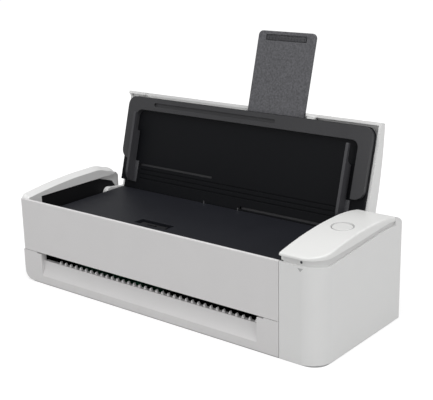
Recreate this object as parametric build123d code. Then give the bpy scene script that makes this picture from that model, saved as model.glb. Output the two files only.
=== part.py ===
from build123d import *
import math
import os

os.makedirs("parts", exist_ok=True)

# Driving dimensions, millimetres: X to the right, Y to the back, Z up
X_LEFT = -148.0
X_RIGHT = 148.0
X_SEAM = 114.8
Y_FRONT = -57.0
Y_REAR = 57.0
SKIN = 2.5
Z_FRONT_TOP = 71.3
Z_SEAM_LOW = 26.7
Z_SEAM_HIGH = 27.1

# Well of the body, between the two outer walls of the chassis
WELL_LEFT = -141.6
WELL_RIGHT = 112.8
FRAME_LEFT = (-135.4, -133.4)
FRAME_RIGHT = (106.4, 108.0)
DECK_TOP = 59.0
DECK_FRONT = -43.0
DECK_BACK = 51.0

# Lid hinge and the lid's attitude in the stored pose
HINGE_Y = 37.8
HINGE_Z = 54.4
LID_OPEN_DEG = 105.5
BARREL_R = 28.0
LEFT_BARREL_R = 22.6
LID_LEFT = -147.7
LID_RIGHT = 114.4
LID_FRONT = -56.9
LID_RIM_Z = 71.8
PIN_R = 2.5
RUNNING = 0.05

# Paper path: centre, fall and rollers
PATH_X = -16.0
PATH_Y0 = 40.4
PATH_Z0 = 39.4
PATH_SLOPE = 0.1623
PATH_DEG = math.degrees(math.atan(PATH_SLOPE))
SHAFT_R = 3.0
GEAR_M = 1.0
GEAR_X0 = 118.0
GEAR_X1 = 122.0

# Paper guides on the lid
RACK_PINION_X = -16.0
RACK_PINION_Y = 17.8
RACK_PINION_R = 8.0
RACK_Z0 = 71.8
RACK_Z1 = 74.3

# Swinging extension plate
PLATE_X0 = -12.0
PLATE_X1 = 44.0
PLATE_S0 = 36.0
PLATE_S1 = 158.0
PIVOT_X = -6.0
PIVOT_S = 43.0
PLATE_Z0 = 71.7
PLATE_Z1 = 74.7

# Scan button on the control panel
BUTTON_X = 131.5
BUTTON_Y = -3.0
BUTTON_R = 7.5
LAMP_Z = 73.5
CAP_EDGE_R = 1.4
REAR_CORNER_R = 5.0

# Exit at the front: a cove scooped out of the lower panel, with a comb on its lip
COVE_LEFT = -126.5
COVE_RIGHT = 96.0
COVE_LOW = 6.8
COVE_SKIN = 2.0
LIP_Y = -53.5
LIP_Z = 19.5
TOOTH_PITCH = 5.9
TOOTH_HEIGHT = 2.5

# Rim of the left cover beside the well: it leans in and down from the outer edge
RIM_FALL = 2.9
RIM_LOW = 69.6
RIM_CORNER_Y = -39.0
RIM_CORNER_Z = 60.0


def block(x0, x1, y0, y1, z0, z1):
    centre = Pos((x0 + x1) / 2, (y0 + y1) / 2, (z0 + z1) / 2)
    return centre * Box(x1 - x0, y1 - y0, z1 - z0)


def rod_x(y, z, r, x0, x1):
    return Pos((x0 + x1) / 2, y, z) * Rot(0, 90, 0) * Cylinder(r, x1 - x0)


def rod_y(x, z, r, y0, y1):
    return Pos(x, (y0 + y1) / 2, z) * Rot(90, 0, 0) * Cylinder(r, y1 - y0)


def rod_z(x, y, r, z0, z1):
    return Pos(x, y, (z0 + z1) / 2) * Cylinder(r, z1 - z0)


def face_yz(x, edges):
    made = []
    for edge in edges:
        spots = [(x, p[0], p[1]) for p in edge]
        if len(spots) == 2:
            made.append(Line(spots[0], spots[1]))
        else:
            made.append(ThreePointArc(spots[0], spots[1], spots[2]))
    return make_face(made)


def prism_arcs(x0, x1, edges):
    return extrude(face_yz(x0, edges), amount=x1 - x0, dir=(1, 0, 0))


def prism_x(x0, x1, points):
    ring = list(points) + [points[0]]
    edges = [(ring[i], ring[i + 1]) for i in range(len(points))]
    return prism_arcs(x0, x1, edges)


def prism_z(z0, z1, points):
    face = make_face(Polyline(*[(p[0], p[1], z0) for p in points], close=True))
    return extrude(face, amount=z1 - z0, dir=(0, 0, 1))


def rounded_plate(x0, x1, y0, y1, z0, z1, r):
    plate = block(x0, x1, y0, y1, z0, z1)
    return fillet(plate.edges().filter_by(Axis.Z), r)


def around_hinge(r, degrees):
    a = math.radians(degrees)
    return (HINGE_Y + r * math.cos(a), HINGE_Z + r * math.sin(a))


def path_z(y):
    return PATH_Z0 - PATH_SLOPE * (PATH_Y0 - y)


def beside_path(y, distance):
    a = math.atan(PATH_SLOPE)
    return (y - math.sin(a) * distance, path_z(y) + math.cos(a) * distance)


def chain(points):
    return [(points[i], points[i + 1]) for i in range(len(points) - 1)]


def save(name, shape):
    if isinstance(shape, (list, ShapeList)):
        shape = Compound(children=list(shape))
    export_step(shape, "parts/" + name + ".step")


def pose_lid(shape):
    return shape.rotate(Axis((0, HINGE_Y, HINGE_Z), (1, 0, 0)), -LID_OPEN_DEG)


# Outer curve of the closed lid and of the control panel, front to back
CREST = [
    ((LID_FRONT, 77.2), (-24.0, 82.6), (10.0, 84.6)),
    ((10.0, 84.6), (28.0, 84.0), (43.8, 81.75)),
]
CREST_INNER = [
    ((-54.5, 75.4), (-24.0, 80.4), (10.0, 82.4)),
    ((10.0, 82.4), (27.6, 81.8), (43.33, 79.6)),
]


def lid_section(x0, x1):
    back = around_hinge(BARREL_R, math.degrees(math.acos(19.0 / BARREL_R)))
    back_in = around_hinge(25.8, math.degrees(math.acos(16.5 / 25.8)))
    edges = [((LID_FRONT, LID_RIM_Z), (LID_FRONT, 77.2))]
    edges += CREST
    edges += [((43.8, 81.75), around_hinge(BARREL_R, 60), back)]
    edges += [(back, (back[0], 63.4)), ((back[0], 63.4), (back_in[0], 63.4))]
    edges += [((back_in[0], 63.4), back_in)]
    edges += [(back_in, around_hinge(25.8, 63), CREST_INNER[1][2])]
    edges += [(CREST_INNER[1][2], CREST_INNER[1][1], CREST_INNER[1][0])]
    edges += [(CREST_INNER[0][2], CREST_INNER[0][1], CREST_INNER[0][0])]
    edges += [((-54.5, 75.4), (-54.5, LID_RIM_Z)), ((-54.5, LID_RIM_Z), (LID_FRONT, LID_RIM_Z))]
    return prism_arcs(x0, x1, edges)


def lid_fill(x0, x1):
    edges = [((LID_FRONT, LID_RIM_Z), (LID_FRONT, 77.2))]
    edges += CREST
    edges += [((43.8, 81.75), (43.8, LID_RIM_Z)), ((43.8, LID_RIM_Z), (LID_FRONT, LID_RIM_Z))]
    return prism_arcs(x0, x1, edges)


def rim_profile(grow):
    # Side outline of the left cover: an arched rim that falls away round the lid hinge
    r = LEFT_BARREL_R + grow
    top = around_hinge(r, 84)
    back = around_hinge(r, math.degrees(math.acos(min(1.0, 19.2 / r))))
    edges = [((-54.5, 0.3), (-54.5, 71.0 + grow))]
    edges += [((-54.5, 71.0 + grow), (-53.4, 73.2 + grow), (-50.5, 74.3 + grow))]
    edges += [((-50.5, 74.3 + grow), (-29.0, 77.2 + grow), (-5.0, 79.3 + grow))]
    edges += [((-5.0, 79.3 + grow), (9.0, 79.9 + grow), (22.0, 80.0 + grow))]
    edges += [((22.0, 80.0 + grow), (32.6, 79.4 + grow), top)]
    edges += [(top, around_hinge(r, 58), back)]
    edges += [(back, (back[0], 0.3)), ((back[0], 0.3), (-54.5, 0.3))]
    return edges


# Body shell pieces

def front_upper_panel():
    panel = block(X_LEFT + 0.1, X_SEAM - 0.2, Y_FRONT, Y_FRONT + SKIN, Z_SEAM_HIGH, Z_FRONT_TOP)
    panel = fillet(panel.edges().filter_by(Axis.Z).sort_by(Axis.X)[0:2].sort_by(Axis.Y)[0:1], 2.0)
    return fillet(panel.edges().filter_by(Axis.X).sort_by(Axis.Z)[-2:], 0.7)


def cove_middle(y_foot, y_lip):
    # Point on the arc that leaves the foot and stands upright at the lip
    rise = LIP_Z - COVE_LOW
    radius = ((y_lip - y_foot) ** 2 + rise ** 2) / (2 * (y_lip - y_foot))
    drop = 0.57 * rise
    return (y_lip - radius + math.sqrt(radius ** 2 - drop ** 2), LIP_Z - drop)


def front_lower_panel():
    left = X_LEFT + 0.1
    right = X_SEAM - 0.2
    ends = block(left, right, Y_FRONT, Y_FRONT + SKIN, 0.3, Z_SEAM_LOW)
    ends = fillet(ends.edges().filter_by(Axis.Y).sort_by(Axis.X)[0:2].sort_by(Axis.Z)[0:1], 8.0)
    ends -= block(COVE_LEFT, COVE_RIGHT, Y_FRONT - 1, Y_FRONT + 4, COVE_LOW, 40)
    ends -= block(COVE_LEFT - 5.2, COVE_RIGHT + 5.8, Y_FRONT - 1, Y_FRONT + 4, Z_SEAM_LOW - 0.9, 40)
    back = LIP_Y + COVE_SKIN
    foot = (Y_FRONT + SKIN - 0.1, COVE_LOW)
    inner = [((back, LIP_Z), cove_middle(foot[0], back), foot), (foot, (Y_FRONT, COVE_LOW))]
    skin_edges = [((Y_FRONT, COVE_LOW), cove_middle(Y_FRONT, LIP_Y), (LIP_Y, LIP_Z)), ((LIP_Y, LIP_Z), (back, LIP_Z))]
    cove = prism_arcs(COVE_LEFT, COVE_RIGHT, skin_edges + inner)
    top = Z_SEAM_LOW - 0.9
    cheek_edges = chain([(Y_FRONT, COVE_LOW), (Y_FRONT, top), (back, top), (back, LIP_Z)]) + inner
    cheeks = prism_arcs(COVE_LEFT - 1.8, COVE_LEFT, cheek_edges) + prism_arcs(COVE_RIGHT, COVE_RIGHT + 1.8, cheek_edges)
    return ends + cove + cheeks


def slot_comb():
    back = LIP_Y + COVE_SKIN
    comb = block(COVE_LEFT + 0.2, COVE_RIGHT - 0.2, back, back + 1.6, LIP_Z - 4.0, LIP_Z)
    count = int((COVE_RIGHT - COVE_LEFT - 14.0) / TOOTH_PITCH)
    for i in range(count):
        x = COVE_RIGHT - 3.4 - TOOTH_PITCH * i
        points = [(x - 1.9, LIP_Z), (x + 1.9, LIP_Z), (x + 0.6, LIP_Z + TOOTH_HEIGHT), (x - 0.6, LIP_Z + TOOTH_HEIGHT)]
        outline = make_face(Polyline(*[(p[0], LIP_Y + 0.6, p[1]) for p in points], close=True))
        comb += extrude(outline, amount=COVE_SKIN + 1.0, dir=(0, 1, 0))
    return comb


def left_side_cover():
    cover = prism_arcs(X_LEFT, -139.0, rim_profile(0))
    low = cover.edges().filter_by(Axis.Y).sort_by(Axis.Z)[0:2].sort_by(Axis.X)[0:1]
    cover = fillet(low, 8.0)
    hollow = block(-145.5, -130, -60, 60, 2.8, 120)
    cut = fillet(hollow.edges().filter_by(Axis.Y).sort_by(Axis.Z)[0:2].sort_by(Axis.X)[0:1], 5.5)
    side = cover - cut - block(-150, -138, -60, 60, RIM_LOW, 120)
    rim = loft([face_yz(X_LEFT, rim_profile(0)), face_yz(WELL_LEFT, rim_profile(-RIM_FALL))], ruled=True)
    rim = rim & block(-150, -138, -60, 60, RIM_LOW, 120)
    corner = block(-145.6, WELL_LEFT, -54.5, RIM_CORNER_Y, RIM_CORNER_Z, RIM_LOW + 0.1)
    rear = block(-145.6, -143.7, 54.4, Y_REAR, 2.5, 50.0)
    whole = side + rim + corner + rear
    for x, y in SCREWS[0:2]:
        whole += block(-145.6, -129.0, y - 3.6, y + 3.6, 2.6, 8.0)
        whole -= rod_z(x, y, 1.3, 2.0, 7.0)
    return whole


SKIN_TOP = [((Y_FRONT, 71.2), (-46.0, 70.2)), ((-46.0, 70.2), (-10.0, 73.0), (26.0, 75.6))]
SKIN_TOP += [((26.0, 75.6), (44.0, 75.5), (Y_REAR, 74.6))]


def right_housing():
    edges = [((Y_FRONT, 0.0), (Y_FRONT, 71.2))] + SKIN_TOP
    edges += [((Y_REAR, 74.6), (Y_REAR, 0.0)), ((Y_REAR, 0.0), (Y_FRONT, 0.0))]
    body = prism_arcs(X_SEAM + 0.2, X_RIGHT, edges)
    posts = body.edges().filter_by(Axis.Z)
    front = posts.filter_by_position(Axis.X, X_RIGHT - 0.1, X_RIGHT + 0.1).sort_by(Axis.Y)
    body = fillet(front[0:1], 16.0)
    posts = body.edges().filter_by(Axis.Z)
    rear = posts.filter_by_position(Axis.X, X_RIGHT - 0.1, X_RIGHT + 0.1).sort_by(Axis.Y)
    body = fillet(rear[-1:], REAR_CORNER_R)
    core = block(X_SEAM - 5, X_RIGHT - SKIN, Y_FRONT + SKIN, Y_REAR - SKIN, SKIN, 120)
    core = fillet(core.edges().filter_by(Axis.Z).sort_by(Axis.X)[-2:].sort_by(Axis.Y)[0:1], 13.5)
    core = fillet(core.edges().filter_by(Axis.Z).sort_by(Axis.X)[-1:], REAR_CORNER_R - SKIN)
    body -= core
    body -= block(110.0, X_SEAM + 4.0, -54.5, 54.5, 2.5, 80)
    for x, y in SCREWS[2:4]:
        body += block(104.0, 120.0, y - 3.6, y + 3.6, 2.6, 8.0)
        body += block(X_SEAM + 0.4, 120.0, y - 3.6, y + 3.6, 2.0, 8.0)
        body -= rod_z(x, y, 1.3, 2.0, 7.0)
    return body


def cap_outline(inset):
    outline = block(X_SEAM + 0.5, 147.8 - inset, Y_FRONT + inset, 56.6 - inset, 40, 100)
    corners = outline.edges().filter_by(Axis.Z).sort_by(Axis.X)
    outline = fillet(corners[2:4].sort_by(Axis.Y)[0:1], 16.0 - inset)
    corners = outline.edges().filter_by(Axis.Z).sort_by(Axis.X)
    return fillet(corners[-1:], max(1.0, REAR_CORNER_R - inset))


def cap_profile(x0, x1, drop):
    # The same crest as the lid, dropped, and rounded off about the lid hinge at the back
    r = BARREL_R - drop
    back = (HINGE_Y + 18.8, HINGE_Z + math.sqrt(r * r - 18.8 ** 2))
    top = (HINGE_Y + 6.0 * r / BARREL_R, HINGE_Z + 27.35 * r / BARREL_R)
    edges = [((Y_FRONT - 1, 40.0), (Y_FRONT - 1, 77.1 - drop))]
    edges += [((Y_FRONT - 1, 77.1 - drop), (-24.0, 82.6 - drop), (10.0, 84.6 - drop))]
    edges += [((10.0, 84.6 - drop), (28.0, 84.0 - drop), top)]
    edges += [(top, around_hinge(r, 62), back)]
    edges += [(back, (back[0], 40.0)), ((back[0], 40.0), (Y_FRONT - 1, 40.0))]
    return prism_arcs(x0, x1, edges)


def cap_underside(x0, x1, drop):
    edges = [((-60.0, 20.0), (-60.0, 75.4 - drop)), ((-60.0, 75.4 - drop), (-14.0, 76.9 - drop), (26.0, 79.2 - drop))]
    edges += [((26.0, 79.2 - drop), (45.0, 78.6 - drop), (60.0, 74.9 - drop))]
    edges += [((60.0, 74.9 - drop), (60.0, 20.0)), ((60.0, 20.0), (-60.0, 20.0))]
    return prism_arcs(x0, x1, edges)


def control_panel():
    cap = cap_profile(X_SEAM + 0.5, 148.0, 0) & cap_outline(0)
    brow = []
    for edge in cap.edges():
        a, m, b = edge.position_at(0), edge.position_at(0.5), edge.position_at(1)
        along_right = m.X > 147.7 and abs(a.Y - b.Y) > 2.0
        along_front = m.Y < Y_FRONT + 0.1 and abs(a.X - b.X) > 2.0
        round_corner = abs(a.X - b.X) > 3.0 and abs(a.Y - b.Y) > 3.0
        if m.Z > 70.0 and (along_right or along_front or round_corner):
            brow.append(edge)
    cap = fillet(brow, CAP_EDGE_R)
    cap -= cap_underside(X_SEAM - 1, 150, 0)
    hollow = cap_profile(X_SEAM + 2.7, 144.4, 2.2) & cap_outline(3.4)
    cap -= hollow
    skirt = block(X_SEAM + 0.5, X_SEAM + 2.7, -54.3, 54.3, 71.6, 79.0)
    skirt -= block(X_SEAM, X_SEAM + 4, 51, 60, 70, 80)
    cap += skirt & cap_profile(X_SEAM, X_SEAM + 3, 1)
    cap -= rod_z(BUTTON_X, BUTTON_Y, BUTTON_R + 0.4, 75, 90)
    return cap


def panel_trim():
    above = prism_arcs(100, 160, SKIN_TOP + chain([(Y_REAR, 74.6), (Y_REAR, 100.0), (Y_FRONT, 100.0), (Y_FRONT, 71.2)]))
    upper = (cap_outline(1.4) - cap_outline(4.2)) & above
    upper = upper & cap_underside(X_SEAM, 150, 0)
    lower = cap_outline(2.6) - cap_outline(4.2)
    lower = lower & block(100, 160, -80, 80, 64.0, 71.5)
    ledge = cap_outline(2.7) - cap_outline(6.0)
    ledge = ledge & block(100, 160, -80, 80, 64.0, 65.6)
    ring = upper + lower + ledge
    ring -= block(100, X_SEAM + 3.0, -80, 80, 0, 200)
    ring -= rod_y(132.2, LAMP_Z, 1.0, -60, -50)
    return ring


def lamp_lens():
    return rod_y(132.2, LAMP_Z, 0.95, -55.7, -51.0)


# The rear cover stops just under the circle that the back of the lid turns on
REAR_TOP = HINGE_Z - math.sqrt(BARREL_R ** 2 - (Y_REAR - SKIN - HINGE_Y) ** 2) - 0.9


def rear_cover():
    cover = block(-143.6, X_SEAM, Y_REAR - SKIN, Y_REAR, 0.3, REAR_TOP)
    cover -= block(-145.0, -138.9, 50, 60, 0, 3.0) + block(-145.0, -140.6, 50, 60, 0, 6.0)
    cover -= block(70.9, 83.1, 50, 60, 7.9, 19.1)
    cover -= block(92.4, 102.6, 50, 60, 9.4, 18.6)
    for i in range(9):
        x = -110.0 + 9.0 * i
        cover -= block(x, x + 4.0, 50, 60, 10.0, 22.0)
    return cover


def usb_socket():
    shell = block(71.0, 83.0, 43.0, 56.4, 8.0, 19.0)
    shell -= block(72.0, 82.0, 47.0, 60.0, 9.0, 18.0)
    tongue = block(74.2, 79.8, 46.0, 55.4, 11.6, 15.4)
    return shell + tongue


def power_inlet():
    shell = block(92.5, 102.5, 41.0, 56.4, 9.5, 18.5)
    shell -= rod_y(97.5, 14.0, 3.2, 45.0, 60.0)
    pin = rod_y(97.5, 14.0, 0.8, 44.0, 55.0)
    return shell + pin


def swept_by_lid(x0, x1, inner, outer):
    # Space that the back of the lid passes through, behind the hinge line
    ring = rod_x(HINGE_Y, HINGE_Z, outer, x0, x1) - rod_x(HINGE_Y, HINGE_Z, inner, x0, x1)
    region = [(36.0, 120.0), (36.0, HINGE_Z), (HINGE_Y, HINGE_Z), (70.0, HINGE_Z - 27.0), (90.0, 120.0)]
    return ring & prism_x(x0, x1, region)


def base_chassis():
    floor = block(-138.8, X_SEAM, -54.4, 54.4, 0.0, SKIN)
    front = block(WELL_LEFT - 2, X_SEAM, -54.4, -52.4, 0.0, 68.0) - block(-200, -138.9, -60, -50, -1, 9)
    front -= block(-136.4, 105.6, -60, -50, 7.0, 29.5)
    left = prism_x(WELL_LEFT - 2, WELL_LEFT, [(-54.4, 9.0), (-54.4, 69.0), (30.0, 69.0), (45.0, 64.0), (54.4, 50.0), (54.4, 9.0)])
    left -= swept_by_lid(WELL_LEFT - 3, WELL_LEFT + 1, 16.8, 32.0)
    rim_seat = block(WELL_LEFT - 3, WELL_LEFT, -55.0, RIM_CORNER_Y + 0.1, RIM_CORNER_Z - 0.1, 75.0)
    front -= rim_seat
    left -= rim_seat
    right_pts = [(-54.4, 0.0), (-54.4, 70.8), (30.0, 70.8), (36.0, 70.8), (50.0, 64.0), (54.4, 50.0), (54.4, 0.0)]
    right = prism_x(WELL_RIGHT, X_SEAM, right_pts) - swept_by_lid(110, 116, 16.8, 32.0)
    near = BARREL_R + 0.4
    far = BARREL_R + 2.2
    cradle_edges = [(around_hinge(near, -58), around_hinge(near, -78), around_hinge(near, -98))]
    cradle_edges += [(around_hinge(near, -98), around_hinge(far, -98))]
    cradle_edges += [(around_hinge(far, -98), around_hinge(far, -78), around_hinge(far, -58))]
    cradle_edges += [(around_hinge(far, -58), around_hinge(near, -58))]
    cradle = prism_arcs(WELL_LEFT, WELL_RIGHT, cradle_edges)
    step = prism_x(WELL_LEFT, WELL_RIGHT, [around_hinge(near + 0.1, -58.3), (54.4, REAR_TOP - 0.4), (54.4, REAR_TOP - 2.4), around_hinge(far - 0.2, -59.5)])
    frames = None
    for x0, x1 in (FRAME_LEFT, FRAME_RIGHT):
        web = prism_x(x0, x1, [(-40.0, 0.0), (-43.0, 57.0), (33.0, 57.0), (33.0, 0.0)])
        lobe = rod_x(HINGE_Y, HINGE_Z, 10.0, x0, x1) - block(-200, 200, 20, 60, 57.0, 80)
        plate = web + lobe
        frames = plate if frames is None else frames + plate
    ledge = block(WELL_LEFT, WELL_RIGHT, -52.4, -43.0, 48.0, 49.5)
    ledge += block(WELL_LEFT, FRAME_LEFT[0], -52.4, 26.0, 48.0, 49.5)
    ledge += block(FRAME_RIGHT[1], WELL_RIGHT, -52.4, 26.0, 48.0, 49.5)
    body = floor + front + left + right + cradle + step + frames + ledge
    for x in (-100.0, 58.0):
        rib = prism_x(x, x + 2.0, [(24.0, 0.0), (34.0, 26.0), (54.4, 29.5), (54.4, 0.0)])
        body += rib - rod_x(HINGE_Y, HINGE_Z, near + 0.2, x - 1.0, x + 3.0)
    for name, y, z in SHAFTS:
        body -= rod_x(y, z, 5.05, FRAME_LEFT[0] - 1, FRAME_RIGHT[1] + 1)
        body -= rod_x(y, z, 4.0, 110.0, 116.0)
    body -= rod_x(HINGE_Y, HINGE_Z, PIN_R, -146.0, 118.0)
    for x, y in FEET:
        body -= rod_z(x, y, 6.05, -1.0, 1.2)
    for x, y in SCREWS:
        body -= rod_z(x, y, 1.5, -1.0, 2.6)
        body -= rod_z(x, y, 2.9, -1.0, 1.3)
        body -= block(110.0, 118.0, y - 3.8, y + 3.8, 2.5, 8.2)
    for name, y, z, teeth, phase in GEARS:
        if name in ("idler_gear_small", "idler_gear_large"):
            body += rod_x(y, z, 2.5, X_SEAM - 0.5, GEAR_X1 + 1.0)
    for x, y in ((-110.0, -30.0), (-110.0, 10.0), (-30.0, -30.0), (-30.0, 10.0)):
        body += rod_z(x, y, 2.5, 2.0, 5.0)
    return body


FEET = [(-122.0, -44.0), (-122.0, 44.0), (96.0, -44.0), (96.0, 44.0)]
SCREWS = [(-133.0, -47.0), (-133.0, 42.0), (108.5, -47.0), (108.5, 42.0)]


def rubber_feet():
    return [rod_z(x, y, 6.0, 0.0, 1.2) for x, y in FEET]


def housing_screws():
    made = []
    for x, y in SCREWS:
        head = rod_z(x, y, 2.7, 0.2, 1.3)
        shank = rod_z(x, y, 1.25, 1.2, 6.4)
        drive = block(x - 1.6, x + 1.6, y - 0.3, y + 0.3, 0.0, 0.7) + block(x - 0.3, x + 0.3, y - 1.6, y + 1.6, 0.0, 0.7)
        made.append(head + shank - drive)
    return made


def hinge_pins():
    left = rod_x(HINGE_Y, HINGE_Z, PIN_R - 0.02, -143.6, -133.5)
    right = rod_x(HINGE_Y, HINGE_Z, PIN_R - 0.02, 106.5, 114.6)
    return [left, right]


# Paper path pieces

def paper_deck():
    top = block(-133.4, 106.4, DECK_FRONT, DECK_BACK, DECK_TOP - 2.0, DECK_TOP)
    top = fillet(top.edges().filter_by(Axis.X).sort_by(Axis.Y)[-2:], 0.95)
    front = block(-133.4, 106.4, DECK_FRONT, DECK_FRONT + 2.0, 34.0, DECK_TOP - 1.0)
    deck = top + front
    for x in (-81.0, 47.0):
        deck += prism_x(x, x + 2.0, [(-42.0, 40.0), (-42.0, 57.5), (36.0, 57.5), (33.0, 53.0), (-34.0, 47.0)])
    deck -= block(-51.0, -17.0, -22.0, -12.0, 50.0, 70.0)
    well = block(-52.5, -15.5, -23.5, -10.5, 53.0, 58.0) - block(-51.0, -17.0, -22.0, -12.0, 54.5, 70.0)
    return deck + well


def deck_latch():
    plate = block(-47.0, -21.0, -20.6, -15.4, 54.6, 57.8)
    lip = block(-38.0, -30.0, -20.6, -18.6, 57.6, 58.9)
    return plate + lip


def lower_paper_guide():
    arc_top = [(around_hinge(15.2, -44), around_hinge(15.2, -62), around_hinge(15.2, -80))]
    front_top = (LIP_Y + 4.1, path_z(LIP_Y + 4.1))
    line_top = [(around_hinge(15.2, -80), front_top)]
    low_front = beside_path(LIP_Y + 3.9, -1.6)
    low_back = around_hinge(16.6, -80)
    line_low = [(front_top, low_front), (low_front, low_back)]
    arc_low = [(low_back, around_hinge(16.6, -62), around_hinge(16.6, -44))]
    close = [(around_hinge(16.6, -44), around_hinge(15.2, -44))]
    guide = prism_arcs(FRAME_LEFT[1], FRAME_RIGHT[0], arc_top + line_top + line_low + arc_low + close)
    for x0, x1 in FEED_TYRES:
        for y in (2.0, -34.0):
            guide -= block(x0 - 1.2, x1 + 1.2, y - 5.0, y + 6.5, 10, 50)
    for x0, x1 in PICK_TYRES:
        guide -= block(x0 - 1.2, x1 + 1.2, 13.0, 28.0, 10, 50)
    guide -= block(-129.0, 97.0, -23.2, -7.8, 10, 50)
    return guide


def upper_paper_guide():
    inner = [(around_hinge(13.0, 10), around_hinge(13.0, -35), around_hinge(13.0, -80))]
    low_front = beside_path(-42.0, 2.2)
    low_back = around_hinge(13.0, -80)
    top_front = beside_path(-42.0, 3.6)
    top_back = around_hinge(11.6, -80)
    line = [(low_back, low_front), (low_front, top_front), (top_front, top_back)]
    outer = [(top_back, around_hinge(11.6, -35), around_hinge(11.6, 10))]
    close = [(around_hinge(11.6, 10), around_hinge(13.0, 10))]
    guide = prism_arcs(FRAME_LEFT[1], FRAME_RIGHT[0], inner + line + outer + close)
    guide -= block(-129.0, 97.0, -27.0, -11.6, 10, 56)
    for x0, x1 in FEED_TYRES:
        for y in (2.0, -34.0):
            guide -= block(x0 - 1.2, x1 + 1.2, y - 7.0, y + 5.5, 10, 56)
    guide -= block(-40.0, 8.0, 9.0, 28.0, 10, 56)
    ears = None
    for cy, cz, spots in AXLE_EARS:
        for x in spots:
            foot = path_z(cy) + 2.9
            ear = block(x - 1.0, x + 1.0, cy - 3.0, cy + 3.0, foot, cz + 3.0)
            ear -= rod_x(cy, cz, 1.5 + RUNNING, x - 2, x + 2)
            ears = ear if ears is None else ears + ear
    guide += ears
    return guide


FEED_TYRES = [(-108.0, -94.0), (-68.0, -54.0), (22.0, 36.0), (62.0, 76.0)]
PICK_TYRES = [(-41.0, -21.0), (-11.0, 9.0)]
BRAKE_TYRES = [(-38.0, 6.0)]
PICK_POS = beside_path(20.0, -10.05)
REAR_POS = beside_path(2.0, -6.05)
FRONT_POS = beside_path(-34.0, -6.05)
BRAKE_POS = beside_path(20.0, 8.4)
PINCH_REAR_POS = beside_path(2.0, 5.4)
PINCH_FRONT_POS = beside_path(-34.0, 5.4)
SHAFTS = [("pick", PICK_POS[0], PICK_POS[1]), ("rear_feed", REAR_POS[0], REAR_POS[1])]
SHAFTS += [("front_feed", FRONT_POS[0], FRONT_POS[1])]
AXLE_EARS = [(PINCH_REAR_POS[0], PINCH_REAR_POS[1], (-111.0, -16.0, 79.0))]
AXLE_EARS += [(PINCH_FRONT_POS[0], PINCH_FRONT_POS[1], (-111.0, -16.0, 79.0))]
AXLE_EARS += [(BRAKE_POS[0], BRAKE_POS[1], (-42.0, 10.0))]


def tyres(pos, r, bore, spans):
    return [rod_x(pos[0], pos[1], r, a, b) - rod_x(pos[0], pos[1], bore, a - 1, b + 1) for a, b in spans]


def drive_shaft(pos):
    return rod_x(pos[0], pos[1], SHAFT_R, -137.2, GEAR_X1 + 1.0)


def pinch_axle(pos, x0, x1):
    return rod_x(pos[0], pos[1], 1.5, x0, x1)


def shaft_bushes():
    made = []
    for name, y, z in SHAFTS:
        for x0, x1, f0, f1 in ((FRAME_LEFT[0], FRAME_LEFT[1], FRAME_LEFT[0] - 1.2, FRAME_LEFT[0]), (FRAME_RIGHT[0], FRAME_RIGHT[1], FRAME_RIGHT[1], FRAME_RIGHT[1] + 1.2)):
            bush = rod_x(y, z, 5.0, x0, x1) + rod_x(y, z, 5.8, f0, f1)
            made.append(bush - rod_x(y, z, SHAFT_R + RUNNING, x0 - 3, x1 + 3))
    return made


def sensor_box(y, gap, sign, x0, x1, height):
    distance = sign * (gap + height / 2)
    cy, cz = beside_path(y, distance)
    return Pos((x0 + x1) / 2, cy, cz) * Rot(PATH_DEG, 0, 0) * Box(x1 - x0, 13.0, height)


def sensor_glass(y, gap, sign, x0, x1):
    distance = sign * (gap + 0.5)
    cy, cz = beside_path(y, distance)
    return Pos((x0 + x1) / 2, cy, cz) * Rot(PATH_DEG, 0, 0) * Box(x1 - x0, 11.0, 1.0)


def main_board():
    board = block(-118.0, -22.0, -40.0, 18.0, 5.0, 6.6)
    chips = block(-90.0, -74.0, -30.0, -14.0, 6.6, 8.6) + block(-60.0, -50.0, -30.0, -22.0, 6.6, 7.8)
    caps = rod_z(-40.0, -30.0, 4.0, 6.6, 13.0) + rod_z(-40.0, -18.0, 4.0, 6.6, 13.0)
    plugs = block(-112.0, -106.0, -20.0, 10.0, 6.6, 12.0) + block(-80.0, -56.0, 4.0, 10.0, 6.6, 11.0)
    return board + chips + caps + plugs


# Gears: straight-flanked approximations of involute teeth with a little backlash

def gear_points(teeth, phase, cx, cy):
    rp = GEAR_M * teeth / 2.0
    half = (math.pi * GEAR_M / 2 - 0.32) / 2 / rp
    pressure = math.tan(math.radians(25.0))
    points = []
    for i in range(teeth):
        mid = phase + 2 * math.pi * i / teeth
        for r, side in ((rp - 1.1, -1), (rp, -1), (rp + 0.75, -1), (rp + 0.75, 1), (rp, 1), (rp - 1.1, 1)):
            wide = half - (r - rp) * pressure / rp
            if r > rp:
                wide = half - (r - rp) * pressure * 1.25 / rp
            wide = max(wide, 0.12 / r)
            a = mid + side * wide
            points.append((cx + r * math.cos(a), cy + r * math.sin(a)))
    return points


def meshed_centre(a, ra, b, rb, r, side):
    dy, dz = b[0] - a[0], b[1] - a[1]
    d = math.hypot(dy, dz)
    da, db = ra + r, rb + r
    t = (da * da - db * db + d * d) / (2 * d)
    h = math.sqrt(max(0.0, da * da - t * t))
    return (a[0] + dy * t / d - side * dz * h / d, a[1] + dz * t / d + side * dy * h / d)


def meshed_phase(c1, z1, phase1, c2, z2):
    along = math.atan2(c2[1] - c1[1], c2[0] - c1[0])
    f = (along - phase1) * z1 / (2 * math.pi)
    f -= math.floor(f)
    return along + math.pi + 2 * math.pi / z2 * (f + 0.5)


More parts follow.
